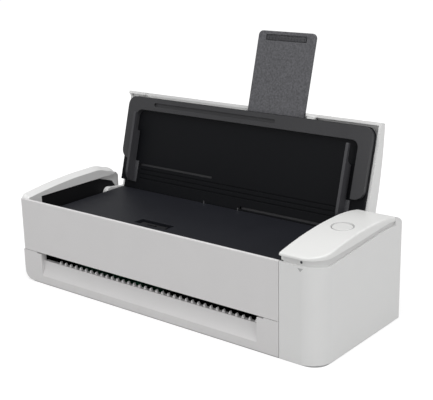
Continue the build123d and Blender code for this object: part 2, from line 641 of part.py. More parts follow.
Z_SMALL = 12
Z_LARGE = 27
Z_PINION = 10
IDLER_SMALL = meshed_centre(PICK_POS, 6.0, REAR_POS, 6.0, 6.0, 1)
IDLER_LARGE = meshed_centre(REAR_POS, 6.0, FRONT_POS, 6.0, 13.5, 1)
PINION_ANGLE = math.radians(92.0)
PINION_POS = (IDLER_LARGE[0] + 18.5 * math.cos(PINION_ANGLE), IDLER_LARGE[1] + 18.5 * math.sin(PINION_ANGLE))
PHASE_REAR = 0.1
PHASE_SMALL = meshed_phase(REAR_POS, Z_SMALL, PHASE_REAR, IDLER_SMALL, Z_SMALL)
PHASE_PICK = meshed_phase(IDLER_SMALL, Z_SMALL, PHASE_SMALL, PICK_POS, Z_SMALL)
PHASE_LARGE = meshed_phase(REAR_POS, Z_SMALL, PHASE_REAR, IDLER_LARGE, Z_LARGE)
PHASE_FRONT = meshed_phase(IDLER_LARGE, Z_LARGE, PHASE_LARGE, FRONT_POS, Z_SMALL)
PHASE_PINION = meshed_phase(IDLER_LARGE, Z_LARGE, PHASE_LARGE, PINION_POS, Z_PINION)
GEARS = [("pick_gear", PICK_POS[0], PICK_POS[1], Z_SMALL, PHASE_PICK)]
GEARS += [("rear_feed_gear", REAR_POS[0], REAR_POS[1], Z_SMALL, PHASE_REAR)]
GEARS += [("front_feed_gear", FRONT_POS[0], FRONT_POS[1], Z_SMALL, PHASE_FRONT)]
GEARS += [("idler_gear_small", IDLER_SMALL[0], IDLER_SMALL[1], Z_SMALL, PHASE_SMALL)]
GEARS += [("idler_gear_large", IDLER_LARGE[0], IDLER_LARGE[1], Z_LARGE, PHASE_LARGE)]
GEARS += [("motor_pinion", PINION_POS[0], PINION_POS[1], Z_PINION, PHASE_PINION)]


def drive_gear(y, z, teeth, phase, bore):
    gear = prism_x(GEAR_X0, GEAR_X1, gear_points(teeth, phase, y, z))
    return gear - rod_x(y, z, bore, GEAR_X0 - 1, GEAR_X1 + 1)


def drive_motor():
    y, z = PINION_POS
    can = rod_x(y, z, 12.0, 126.2, 144.0)
    boss = rod_x(y, z, 3.5, 124.6, 126.2) - rod_x(y, z, 1.5 + RUNNING, 124.0, 128.0)
    return can + boss - rod_x(y, z, 1.5 + RUNNING, 124.0, 131.0)


def motor_bracket():
    y, z = PINION_POS
    plate = block(124.6, 126.2, y - 14.0, y + 14.0, z - 13.0, z + 18.0)
    plate -= rod_x(y, z, 3.6, 120, 130)
    posts = rod_x(y - 11.0, z + 15.0, 2.2, X_SEAM, 124.6) + rod_x(y + 11.0, z + 15.0, 2.2, X_SEAM, 124.6)
    return plate + posts


# Control panel inner pieces

def scan_button():
    head = rod_z(BUTTON_X, BUTTON_Y, BUTTON_R, 80.0, 84.1)
    flange = rod_z(BUTTON_X, BUTTON_Y, 9.2, 80.0, 80.9)
    stem = rod_z(BUTTON_X, BUTTON_Y, 2.2, 75.0, 80.5)
    head = fillet(head.edges().sort_by(Axis.Z)[-1:], 0.5)
    return head + flange + stem


def button_dome():
    outer = Pos(BUTTON_X, BUTTON_Y, 76.6) * Cone(7.0, 4.6, 6.8)
    inner = Pos(BUTTON_X, BUTTON_Y, 76.6) * Cone(6.0, 3.6, 6.9)
    return outer - inner


def panel_board():
    board = block(118.4, 143.0, -18.0, 12.0, 71.4, 73.2)
    switch = block(128.5, 134.5, -6.0, 0.0, 73.2, 73.9)
    return board + switch


def board_posts():
    return [block(X_SEAM, 122.0, -14.0, -10.0, 66.0, 71.4), block(X_SEAM, 122.0, 4.0, 8.0, 66.0, 71.4)]


# Lid pieces, drawn in the closed attitude and then turned to the stored one

def lid_shell():
    shell = lid_section(WELL_LEFT + 0.8, WELL_RIGHT - 0.4)
    open_part = block(-200, 200, -80, HINGE_Y - 1.0, 0, 200)
    shell += lid_section(LID_LEFT, WELL_LEFT + 0.8) & open_part
    shell += lid_section(WELL_RIGHT - 0.4, LID_RIGHT) & open_part
    left_skirt = (lid_fill(LID_LEFT, LID_LEFT + 2.4) & open_part) - prism_arcs(LID_LEFT - 1, LID_LEFT + 5, rim_profile(0.5))
    right_skirt = lid_fill(LID_RIGHT - 2.2, LID_RIGHT) & open_part
    shell += left_skirt + right_skirt
    for x0, x1 in ((-140.8, -136.2), (108.4, 112.4)):
        arm_pts = [(28.5, 81.0), (43.3, 79.8), (43.3, 56.5), (32.6, 52.0), (31.0, 62.0)]
        arm = prism_x(x0, x1, arm_pts) + rod_x(HINGE_Y, HINGE_Z, 6.0, x0, x1)
        shell += arm
        shell -= rod_x(HINGE_Y, HINGE_Z, PIN_R + RUNNING, x0 - 1, x1 + 1)
    shell -= block(-128.0, 46.0, -60.0, -54.0, 71.0, 75.3)
    tab = block(48.5, 55.5, -54.1, -52.5, 69.9, 73.2) + block(48.5, 55.5, -54.7, -54.0, 72.2, 73.2)
    return shell + tab


def lid_liner():
    floor = rounded_plate(-140.6, 112.0, -52.7, 40.0, 69.4, 71.2, 8.0) & block(-200, 200, -80, 23.8, 0, 100)
    floor += block(-135.8, 107.8, 20.0, 36.8, 69.4, 71.2)
    outer = rounded_plate(-140.2, 111.6, -52.3, 80.0, 58.4, 70.0, 8.0)
    rim = Plane((-14.3, 25.0, 58.4)) * RectangleRounded(245.6, 148.6, 5.0)
    inner = extrude(rim, amount=12.0, taper=20.0)
    frame = outer - inner
    frame = frame & block(-200, 200, -80, 23.8, 50, 69.6)
    end_edges = [((6.0, 50.0), (6.0, 58.4)), ((6.0, 58.4), (18.0, 61.5), (23.8, 69.3)), ((23.8, 69.3), (40.0, 69.3))]
    end_edges += [((40.0, 69.3), (40.0, 50.0)), ((40.0, 50.0), (6.0, 50.0))]
    frame -= prism_arcs(-200, 200, end_edges)
    liner = floor + frame
    liner -= block(-131.0, -37.0, 6.8, 8.8, 60, 75)
    liner -= block(-3.0, 100.0, 27.0, 29.0, 60, 75)
    liner += rod_z(RACK_PINION_X, RACK_PINION_Y, 2.5, 70.0, 75.4)
    liner += rod_z(PIVOT_X, HINGE_Y - PIVOT_S, 4.0, 70.0, 71.5)
    liner -= rod_z(PIVOT_X, HINGE_Y - PIVOT_S, 2.05, 68.0, 72.0)
    liner -= block(48.0, 56.0, -53.0, -52.2, 69, 72)
    for x in (-118.0, 86.0):
        liner += rod_z(x, -30.0, 3.0, 70.0, 71.4)
    return liner


def rack_bar(x0, x1, y_back, y_root, direction, tooth_x):
    low, high = min(y_back, y_root), max(y_back, y_root)
    bar = block(x0, x1, low, high, RACK_Z0, RACK_Z1)
    pitch = math.pi * GEAR_M
    pressure = math.tan(math.radians(25.0))
    first = math.ceil((x0 + 1.4 - tooth_x) / pitch)
    last = math.floor((x1 - 1.4 - tooth_x) / pitch)
    points = [(x0, y_root - direction * 0.5)]
    for i in range(first, last + 1):
        x = tooth_x + i * pitch
        half = (pitch / 2 - 0.32) / 2
        base = half + 1.1 * pressure
        tip = half - 0.75 * pressure
        points += [(x - base, y_root), (x - tip, y_root + direction * 1.85)]
        points += [(x + tip, y_root + direction * 1.85), (x + base, y_root)]
    points += [(x1, y_root - direction * 0.5)]
    teeth = prism_z(RACK_Z0, RACK_Z1, points)
    return bar + teeth


def left_guide():
    fin = block(-127.6, -125.2, -25.0, 24.0, 61.2, 69.0)
    fin = fillet(fin.edges().filter_by(Axis.X).sort_by(Axis.Z)[0:2], 3.0)
    tab = prism_z(61.8, 68.0, [(-127.6, -24.0), (-126.0, -25.0), (-130.6, -38.0), (-132.2, -37.0)])
    sled = block(-131.5, -121.0, 3.0, 24.0, 68.1, 69.1)
    neck = block(-130.0, -123.0, 7.1, 8.5, 69.0, 72.0)
    rack = rack_bar(-130.0, -13.0, 4.8, RACK_LEFT_ROOT, 1, RACK_LEFT_TOOTH)
    return fin + tab + sled + neck + rack


def right_guide():
    fin = block(93.2, 95.6, -25.0, 24.0, 61.2, 69.0)
    fin = fillet(fin.edges().filter_by(Axis.X).sort_by(Axis.Z)[0:2], 3.0)
    tab = prism_z(61.8, 68.0, [(95.6, -24.0), (94.0, -25.0), (98.6, -38.0), (100.2, -37.0)])
    sled = block(89.0, 99.5, 3.0, 33.0, 68.1, 69.1)
    neck = block(91.0, 98.0, 27.3, 28.7, 69.0, 72.0)
    rack = rack_bar(-19.0, 98.0, 30.8, RACK_RIGHT_ROOT, -1, RACK_RIGHT_TOOTH)
    return fin + tab + sled + neck + rack


# Racks either side of the pinion: the left guide's rack runs in front of it, the right one's behind
RACK_LEFT_ROOT = RACK_PINION_Y - RACK_PINION_R - 1.1
RACK_RIGHT_ROOT = RACK_PINION_Y + RACK_PINION_R + 1.1
RACK_PINION_TEETH = 16
RACK_PINION_PHASE = math.radians(-90.0)
RACK_LEFT_TOOTH = RACK_PINION_X + math.pi * GEAR_M / 2
RACK_RIGHT_TOOTH = RACK_PINION_X + math.pi * GEAR_M / 2


def guide_pinion():
    points = gear_points(RACK_PINION_TEETH, RACK_PINION_PHASE, RACK_PINION_X, RACK_PINION_Y)
    gear = prism_z(RACK_Z0, RACK_Z1, points)
    return gear - rod_z(RACK_PINION_X, RACK_PINION_Y, 2.5 + RUNNING, 70, 80)


def plate_y(s):
    return HINGE_Y - s


def extension_plate():
    y0, y1 = plate_y(PLATE_S1), plate_y(PLATE_S0)
    plate = rounded_plate(PLATE_X0, PLATE_X1, y0, y1, PLATE_Z0, PLATE_Z1, 4.0)
    plate = chamfer(plate.edges().group_by(Axis.Z)[0], 0.5)
    pocket = block(PLATE_X0 + 8.0, PLATE_X1 - 8.0, y0 + 3.0, y0 + 8.0, PLATE_Z0 - 1, PLATE_Z0 + 1.4)
    plate -= pocket
    plate -= rod_z(PIVOT_X, plate_y(PIVOT_S), 3.0 + RUNNING, 70, 80)
    return plate


def extension_pivot():
    y = plate_y(PIVOT_S)
    stem = rod_z(PIVOT_X, y, 2.0, 69.5, 71.5)
    shoulder = rod_z(PIVOT_X, y, 3.0, 71.5, 74.9)
    head = rod_z(PIVOT_X, y, 5.0, 74.9, 76.3)
    return stem + shoulder + head


def write_body():
    save("base_chassis", base_chassis())
    save("rubber_feet", rubber_feet())
    save("housing_screws", housing_screws())
    save("front_upper_panel", front_upper_panel())
    save("front_lower_panel", front_lower_panel())
    save("slot_comb", slot_comb())
    save("left_side_cover", left_side_cover())
    save("right_housing", right_housing())
    save("control_panel", control_panel())
    save("panel_trim", panel_trim())
    save("lamp_lens", lamp_lens())
    save("rear_cover", rear_cover())
    save("usb_socket", usb_socket())
    save("power_inlet", power_inlet())
    save("hinge_pins", hinge_pins())
    save("main_board", main_board())
    save("panel_board", panel_board())
    save("board_posts", board_posts())


def write_paper_path():
    save("paper_deck", paper_deck())
    save("deck_latch", deck_latch())
    save("lower_paper_guide", lower_paper_guide())
    save("upper_paper_guide", upper_paper_guide())
    save("lower_scan_unit", sensor_box(-15.5, 1.9, -1, FRAME_LEFT[1], FRAME_RIGHT[0], 11.0))
    save("upper_scan_unit", sensor_box(-19.3, 2.6, 1, -128.0, 96.0, 11.0))
    save("lower_scan_glass", sensor_glass(-15.5, 0.9, -1, -126.0, 94.0))
    save("upper_scan_glass", sensor_glass(-19.3, 1.6, 1, -126.0, 94.0))
    save("shaft_bushes", shaft_bushes())
    save("pick_shaft", drive_shaft(PICK_POS))
    save("pick_tyres", tyres(PICK_POS, 10.0, SHAFT_R, PICK_TYRES))
    save("rear_feed_shaft", drive_shaft(REAR_POS))
    save("rear_feed_tyres", tyres(REAR_POS, 6.0, SHAFT_R, FEED_TYRES))
    save("front_feed_shaft", drive_shaft(FRONT_POS))
    save("front_feed_tyres", tyres(FRONT_POS, 6.0, SHAFT_R, FEED_TYRES))
    save("separation_axle", pinch_axle(BRAKE_POS, -43.4, 11.4))
    save("separation_tyre", tyres(BRAKE_POS, 8.0, 1.5, BRAKE_TYRES))
    save("rear_pinch_axle", pinch_axle(PINCH_REAR_POS, -112.4, 80.4))
    save("rear_pinch_tyres", tyres(PINCH_REAR_POS, 5.0, 1.5, FEED_TYRES))
    save("front_pinch_axle", pinch_axle(PINCH_FRONT_POS, -112.4, 80.4))
    save("front_pinch_tyres", tyres(PINCH_FRONT_POS, 5.0, 1.5, FEED_TYRES))


def write_drive():
    for name, y, z, teeth, phase in GEARS:
        bore = SHAFT_R
        if name.startswith("idler"):
            bore = 2.5 + RUNNING
        gear = drive_gear(y, z, teeth, phase, bore)
        if name == "motor_pinion":
            gear = prism_x(GEAR_X0, GEAR_X1, gear_points(teeth, phase, y, z)) + rod_x(y, z, 1.5, GEAR_X1 - 1, 130.0)
        save(name, gear)
    save("drive_motor", drive_motor())
    save("motor_bracket", motor_bracket())
    save("scan_button", scan_button())
    save("button_dome", button_dome())


def write_lid():
    save("lid_shell", pose_lid(lid_shell()))
    save("lid_liner", pose_lid(lid_liner()))
    save("left_guide", pose_lid(left_guide()))
    save("right_guide", pose_lid(right_guide()))
    save("guide_pinion", pose_lid(guide_pinion()))
    save("extension_plate", pose_lid(extension_plate()))
    save("extension_pivot", pose_lid(extension_pivot()))


write_body()
write_paper_path()
write_drive()
write_lid()
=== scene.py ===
import bmesh
import bpy
import math
from mathutils import Matrix, Vector
from mathutils.bvhtree import BVHTree


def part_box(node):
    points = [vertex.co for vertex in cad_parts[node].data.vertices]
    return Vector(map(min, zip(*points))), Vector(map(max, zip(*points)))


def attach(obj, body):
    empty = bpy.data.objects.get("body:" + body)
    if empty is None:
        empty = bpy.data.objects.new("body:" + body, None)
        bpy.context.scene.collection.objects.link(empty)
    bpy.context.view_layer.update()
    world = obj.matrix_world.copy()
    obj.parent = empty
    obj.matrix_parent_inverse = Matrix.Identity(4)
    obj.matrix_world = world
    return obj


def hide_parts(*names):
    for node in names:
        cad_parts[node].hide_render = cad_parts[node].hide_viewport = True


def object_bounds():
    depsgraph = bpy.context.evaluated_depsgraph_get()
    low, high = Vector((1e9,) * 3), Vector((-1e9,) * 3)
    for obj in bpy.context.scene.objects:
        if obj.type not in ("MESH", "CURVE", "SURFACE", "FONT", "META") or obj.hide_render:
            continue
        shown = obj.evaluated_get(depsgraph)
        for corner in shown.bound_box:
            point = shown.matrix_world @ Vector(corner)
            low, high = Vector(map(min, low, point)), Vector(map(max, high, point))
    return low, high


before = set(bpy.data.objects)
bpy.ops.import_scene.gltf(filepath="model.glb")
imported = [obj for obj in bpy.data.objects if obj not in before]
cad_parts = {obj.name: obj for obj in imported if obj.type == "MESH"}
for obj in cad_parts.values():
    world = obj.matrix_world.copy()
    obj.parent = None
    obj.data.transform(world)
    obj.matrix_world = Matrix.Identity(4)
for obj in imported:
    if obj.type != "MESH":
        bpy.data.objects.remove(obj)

cad_low, cad_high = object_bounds()

# Chassis
# One black ABS moulding with floor, inner walls and hinge frames. Everything
# else is screwed or clipped to it, so only its ledges show round the deck.
CHASSIS_BLACK = (0.006, 0.006, 0.007)
FLOW_SCALE = 38.0
FLOW_DETAIL = 4.0
PIT_SIZE = 0.0005
PIT_DETAIL = 3.0
TINT_ENDS = (0.3, 0.7)
GLOSS_SPREAD = 0.08
COAT_ROUGH = 0.25
BUMP_STRENGTH = 0.5


def blank(name):
    """A new material, with its node tree and its shader."""
    mat = bpy.data.materials.new(name)
    mat.use_nodes = True
    return mat, mat.node_tree, mat.node_tree.nodes["Principled BSDF"]


def feed(tree, node, inputs):
    """Sets a node's inputs. Each is a plain value or the output that leads to it."""
    for key, value in inputs.items():
        if isinstance(value, bpy.types.NodeSocket):
            tree.links.new(value, node.inputs[key])
        else:
            node.inputs[key].default_value = value


def add_node(tree, kind, inputs, **settings):
    """A new node of a kind, with its settings and inputs."""
    node = tree.nodes.new(kind)
    for key, value in settings.items():
        setattr(node, key, value)
    feed(tree, node, inputs)
    return node


def noise(tree, place, scale, detail):
    """A cloudy pattern between 0 and 1."""
    inputs = {"Vector": place, "Scale": scale, "Detail": detail}
    return add_node(tree, "ShaderNodeTexNoise", inputs).outputs["Fac"]


def ramp(tree, value, dark, light, ends=(0.0, 1.0)):
    """A colour that goes from dark to light as the value rises between the ends."""
    node = add_node(tree, "ShaderNodeValToRGB", {"Fac": value})
    for stop, colour, end in zip(node.color_ramp.elements, (dark, light), ends):
        stop.position = end
        stop.color = list(colour) + [1.0]
    return node.outputs["Color"]


def spread(tree, value, low, high, from_low=0.0, from_high=1.0):
    """The value, moved from one range into another."""
    inputs = {"Value": value, "From Min": from_low, "From Max": from_high, "To Min": low, "To Max": high}
    return add_node(tree, "ShaderNodeMapRange", inputs).outputs["Result"]


def plastic(name, colour, rough, grain=0.0, depth=0.0, mottle=0.03, shine=0.5, coat=0.0, speckle=0.0):
    """Moulded plastic: flow marks in the colour, mould grain in the bump, gloss that varies a little."""
    mat, tree, bsdf = blank(name)
    place = tree.nodes.new("ShaderNodeTexCoord").outputs["Object"]
    flow = noise(tree, place, FLOW_SCALE, FLOW_DETAIL)
    pits = noise(tree, place, 1.0 / (grain or PIT_SIZE), PIT_DETAIL)
    change = speckle or mottle
    dark = [c * (1.0 - change) for c in colour]
    light = [min(1.0, c * (1.0 + change)) for c in colour]
    inputs = {"Specular IOR Level": shine}
    inputs["Base Color"] = ramp(tree, pits if speckle else flow, dark, light, TINT_ENDS)
    inputs["Roughness"] = spread(tree, flow, rough - GLOSS_SPREAD / 2, rough + GLOSS_SPREAD / 2)
    if coat:
        inputs["Coat Weight"] = coat
        inputs["Coat Roughness"] = COAT_ROUGH
    if grain:
        bump = {"Strength": BUMP_STRENGTH, "Distance": depth, "Height": pits}
        inputs["Normal"] = add_node(tree, "ShaderNodeBump", bump).outputs["Normal"]
    feed(tree, bsdf, inputs)
    return mat


def finish_node(node, mat):
    """Gives a CAD node its real finish."""
    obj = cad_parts[node]
    for slot in obj.material_slots:
        slot.material = mat
    if not obj.material_slots:
        obj.data.materials.append(mat)


chassis_black = plastic("chassis_black", CHASSIS_BLACK, rough=0.6, grain=0.0006, depth=0.00003, shine=0.18)
finish_node("base_chassis", chassis_black)

# Feet
# Four dark rubber pads glued into round pockets of the floor. Each is a
# moulded disc with two pressed rings on its underside for grip.
FOOT_RADIUS = 0.006
FOOT_RINGS = (0.0022, 0.0042)
RING_HALF = 0.0004
RING_DEPTH = 0.0003
ROUND_STEPS = 48
TURNED_SHARP = math.radians(40.0)
PAD_COLOUR = (0.022, 0.022, 0.024)
pad_rubber = plastic("pad_rubber", PAD_COLOUR, rough=0.85, grain=0.0005, depth=0.00004, shine=0.3)
scene = bpy.context.scene


def linked(name, data):
    """A new object at the origin of the scene."""
    obj = bpy.data.objects.new(name, data)
    scene.collection.objects.link(obj)
    return obj


def skin(bm, rings):
    """Faces from each ring of points to the next. A ring may be one point."""
    steps = max(len(ring) for ring in rings)
    for low, high in zip(rings, rings[1:]):
        for i in range(steps):
            j = (i + 1) % steps
            corners = [low[i % len(low)], low[j % len(low)], high[j % len(high)], high[i % len(high)]]
            bm.faces.new(list(dict.fromkeys(corners)))


def closed_up(name, bm, mat, sharp=None):
    """The faces made so far as a piece of one material, with their normals outwards."""
    bmesh.ops.recalc_face_normals(bm, faces=bm.faces)
    mesh = bpy.data.meshes.new(name)
    bm.to_mesh(mesh)
    bm.free()
    if sharp:
        mesh.shade_smooth()
        mesh.set_sharp_from_angle(angle=sharp)
    mesh.materials.append(mat)
    return linked(name, mesh)


def turned(name, profile, centre, axis, mat, hollow=False):
    """A lathe-turned piece. The profile's pairs are radius and height along the axis."""
    bm = bmesh.new()
    rings = []
    for radius, height in profile:
        steps = ROUND_STEPS if radius else 1
        angles = [2.0 * math.pi * i / steps for i in range(steps)]
        rings.append([bm.verts.new((radius * math.cos(a), radius * math.sin(a), height)) for a in angles])
    skin(bm, rings + rings[:1] if hollow else rings)
    obj = closed_up(name, bm, mat, TURNED_SHARP)
    lean = Vector((0, 0, 1)).rotation_difference(axis).to_matrix().to_4x4()
    obj.data.transform(Matrix.Translation(centre) @ lean)
    return obj


def merged(name, pieces):
    """Several small meshes at the origin as one piece."""
    bm = bmesh.new()
    for piece in pieces:
        bm.from_mesh(piece.data)
    mesh = pieces[0].data.copy()
    mesh.name = name
    bm.to_mesh(mesh)
    bm.free()
    for piece in pieces:
        bpy.data.objects.remove(piece)
    return linked(name, mesh)


foot_low, foot_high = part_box("rubber_feet")
foot_profile = [(0.0, 0.0)]
for ring_radius in FOOT_RINGS:
    foot_profile += [(ring_radius - RING_HALF, 0.0), (ring_radius - RING_HALF, RING_DEPTH)]
    foot_profile += [(ring_radius + RING_HALF, RING_DEPTH), (ring_radius + RING_HALF, 0.0)]
foot_profile += [(FOOT_RADIUS - RING_DEPTH, 0.0), (FOOT_RADIUS, RING_DEPTH)]
foot_profile += [(FOOT_RADIUS, foot_high.z), (0.0, foot_high.z)]
pads = []
for x in (foot_low.x + FOOT_RADIUS, foot_high.x - FOOT_RADIUS):
    for y in (foot_low.y + FOOT_RADIUS, foot_high.y - FOOT_RADIUS):
        pads.append(turned("foot_pad", foot_profile, Vector((x, y, 0.0)), Vector((0, 0, 1)), pad_rubber))
feet = merged("ringed_feet", pads)
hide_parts("rubber_feet")
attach(feet, "body")

# Housing screws
# Zinc plated cross-head screws driven up from below, one near each corner,
# with the fine scratches that plating and drivers leave.
SCRATCH_DETAIL = 5.0
SCRATCH_DARK = 0.88
SCRATCH_LIGHT = 1.06
SMOOTHER = 0.06
ROUGHER = 0.08
EVEN_BRUSH = (900.0, 900.0, 900.0)
ZINC_COLOUR = (0.60, 0.60, 0.58)


def metal(name, colour, rough, brush=EVEN_BRUSH):
    """Plated or drawn metal with fine scratches along one direction."""
    mat, tree, bsdf = blank(name)
    place = tree.nodes.new("ShaderNodeTexCoord").outputs["Object"]
    stretched = add_node(tree, "ShaderNodeMapping", {"Vector": place, "Scale": brush}).outputs["Vector"]
    marks = noise(tree, stretched, 1.0, SCRATCH_DETAIL)
    dark = [c * SCRATCH_DARK for c in colour]
    light = [min(1.0, c * SCRATCH_LIGHT) for c in colour]
    inputs = {"Metallic": 1.0, "Base Color": ramp(tree, marks, dark, light)}
    inputs["Roughness"] = spread(tree, marks, rough - SMOOTHER, rough + ROUGHER)
    feed(tree, bsdf, inputs)
    return mat


zinc = metal("zinc_plate", ZINC_COLOUR, rough=0.34)
finish_node("housing_screws", zinc)

# Circuit boards
# Glass-fibre boards under green solder mask, on short black posts. The main
# board lies on the floor and the small one carries the button's switch.
TRACK_SCALE = 260.0
TRACK_WIDTH = 0.06
MASK_DARK = (0.012, 0.10, 0.05, 1)
MASK_LIGHT = (0.014, 0.12, 0.06, 1)
MASK_ON_TRACKS = (0.03, 0.17, 0.09, 1)
MASK_ROUGH = 0.35


def board_material():
    """Green solder mask that shows a little paler over the copper tracks."""
    mat, tree, bsdf = blank("solder_mask")
    inputs = {"Scale": TRACK_SCALE, "Mortar Size": TRACK_WIDTH}
    inputs.update({"Color1": MASK_DARK, "Color2": MASK_LIGHT, "Mortar": MASK_ON_TRACKS})
    inputs["Vector"] = tree.nodes.new("ShaderNodeTexCoord").outputs["Object"]
    tracks = add_node(tree, "ShaderNodeTexBrick", inputs).outputs["Color"]
    feed(tree, bsdf, {"Base Color": tracks, "Roughness": MASK_ROUGH})
    return mat


solder_mask = board_material()
finish_node("main_board", solder_mask)
finish_node("panel_board", solder_mask)
finish_node("board_posts", chassis_black)

# Drive
# A small can motor on a bracket turns white acetal gears outside the right
# wall of the chassis. The shafts run in bushes of the same acetal.
ACETAL_COLOUR = (0.70, 0.69, 0.64)
ACETAL_GEARS = ("pick_gear", "rear_feed_gear", "front_feed_gear", "idler_gear_small", "idler_gear_large")
CAN_COLOUR = (0.50, 0.50, 0.51)
CAN_BRUSH = (200.0, 1800.0, 1800.0)
acetal = plastic("acetal", ACETAL_COLOUR, rough=0.38, grain=0.0006, depth=0.00001)
for node in ACETAL_GEARS + ("shaft_bushes", "guide_pinion"):
    finish_node(node, acetal)
motor_can = metal("motor_can", CAN_COLOUR, rough=0.36, brush=CAN_BRUSH)
finish_node("drive_motor", motor_can)
finish_node("motor_bracket", chassis_black)

# Rollers
# Ground steel shafts with rubber tyres pressed on, in pairs that nip the
# sheet between them, and a separation roller that holds back the next one.
STEEL_COLOUR = (0.56, 0.56, 0.57)
STEEL_BRUSH = (60.0, 2200.0, 2200.0)
STEEL_SHAFTS = ("pick_shaft", "rear_feed_shaft", "front_feed_shaft", "separation_axle")
TYRE_COLOUR = (0.045, 0.045, 0.05)
DRIVEN_TYRES = ("pick_tyres", "rear_feed_tyres", "front_feed_tyres")
ground_steel = metal("ground_steel", STEEL_COLOUR, rough=0.26, brush=STEEL_BRUSH)
for node in STEEL_SHAFTS + ("rear_pinch_axle", "front_pinch_axle", "motor_pinion", "hinge_pins"):
    finish_node(node, ground_steel)
tyre_rubber = plastic("tyre_rubber", TYRE_COLOUR, rough=0.75, grain=0.0004, depth=0.00004, shine=0.3)
for node in DRIVEN_TYRES + ("separation_tyre", "rear_pinch_tyres", "front_pinch_tyres"):
    finish_node(node, tyre_rubber)

# Paper path
# Black lower and upper guides that lead the sheet down to the exit, each
# with a scanning bar let into it behind a strip of clear float glass.
GUIDE_COLOUR = (0.012, 0.012, 0.014)
GLASS_CLEAR = 0.85
GLASS_INDEX = 1.5
GLASS_ROUGH = 0.03
GLASS_DARK = (0.62, 0.70, 0.72)
GLASS_LIGHT = (0.72, 0.80, 0.82)
DUST_SCALE = 60.0
DUST_DETAIL = 2.0
guide_black = plastic("guide_black", GUIDE_COLOUR, rough=0.45, grain=0.0005, depth=0.00002, shine=0.3)
for node in ("lower_paper_guide", "upper_paper_guide", "lower_scan_unit", "upper_scan_unit"):
    finish_node(node, guide_black)


def scan_glass_material():
    """Clear float glass, a little uneven in its faint green."""
    mat, tree, bsdf = blank("scan_glass")
    place = tree.nodes.new("ShaderNodeTexCoord").outputs["Object"]
    inputs = {"Transmission Weight": GLASS_CLEAR, "IOR": GLASS_INDEX, "Roughness": GLASS_ROUGH}
    dust = noise(tree, place, DUST_SCALE, DUST_DETAIL)
    inputs["Base Color"] = ramp(tree, dust, GLASS_DARK, GLASS_LIGHT)
    feed(tree, bsdf, inputs)
    return mat


glass = scan_glass_material()
finish_node("lower_scan_glass", glass)
finish_node("upper_scan_glass", glass)

# Front panels
# Two white ABS shells clipped over the chassis with a hairline seam between
# them. The lower one is scooped out under the paper exit.
UPPER_EDGE = 0.0008
LOWER_EDGE = 0.0005
EDGE_STEPS = 2
EDGE_ANGLE = math.radians(28.0)
SKIN_SHARP = math.radians(50.0)
FLAT_WEIGHT = 60
WELD = 2e-6
SAME_PLANE = math.radians(0.4)
FRONT_WHITE = (0.70, 0.69, 0.69)
front_white = plastic("front_white", FRONT_WHITE, rough=0.42, grain=0.0004, depth=0.000012, mottle=0.012)


def made_plain(obj):
    """Turns what the piece's modifiers do into plain mesh."""
    bpy.context.view_layer.update()
    done = bpy.data.meshes.new_from_object(obj.evaluated_get(bpy.context.evaluated_depsgraph_get()))
    done.name = obj.data.name
    obj.modifiers.clear()
    obj.data = done


def eased(obj, width):
    """Rounds the edges as a mould does, with even shading on the flats."""
    ease = obj.modifiers.new("eased_edges", "BEVEL")
    ease.width = width
    ease.segments = EDGE_STEPS
    ease.limit_method = "ANGLE"
    ease.angle_limit = EDGE_ANGLE
    ease.use_clamp_overlap = True
    ease.loop_slide = False
    obj.data.shade_smooth()
    obj.data.set_sharp_from_angle(angle=SKIN_SHARP)
    even = obj.modifiers.new("even_normals", "WEIGHTED_NORMAL")
    even.keep_sharp = True
    even.weight = FLAT_WEIGHT
    made_plain(obj)


def softened(node, name, width, mat, body, reshape=None):
    """The node's own moulding with its edges eased, after reshape has worked on it."""
    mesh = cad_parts[node].data.copy()
    mesh.name = name
    mesh.materials.clear()
    mesh.materials.append(mat)
    bm = bmesh.new()
    bm.from_mesh(mesh)
    bmesh.ops.remove_doubles(bm, verts=bm.verts, dist=WELD)
    bmesh.ops.dissolve_limit(bm, angle_limit=SAME_PLANE, verts=bm.verts, edges=bm.edges)
    bm.normal_update()
    bm.to_mesh(mesh)
    bm.free()
    obj = linked(name, mesh)
    if reshape:
        reshape(obj)
    eased(obj, width)
    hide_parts(node)
    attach(obj, body)
    return obj


softened("front_upper_panel", "upper_front", UPPER_EDGE, front_white, "body")
softened("front_lower_panel", "lower_front", LOWER_EDGE, front_white, "body")

# Exit comb
# A white bar clipped behind the scoop's lip. Its fine upright teeth comb the
# sheets as they leave and earth their static.
COMB_TOOTH = Vector((0.0026, 0.0020, 0.0024))
COMB_PITCH = 0.0059
COMB_TEETH = 35
COMB_TIP = 0.16
COMB_EDGE = 0.00012
COMB_BAR_DEPTH = 0.0016
COMB_BAR_HEIGHT = 0.0040
COMB_BAR_EDGE = 0.0002
COMB_FIRST = 0.0032
RIB_SOCKETS = {"Count": "Int", "Start": "Vector", "Step": "Vector", "Size": "Vector", "Tip": "Float"}
BAR_SHARP = math.radians(35.0)
comb_low, comb_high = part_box("slot_comb")


def reckoned(tree, kind, operation, *values):
    """The outputs of a node that does one step of arithmetic."""
    return add_node(tree, kind, dict(enumerate(values)), operation=operation).outputs


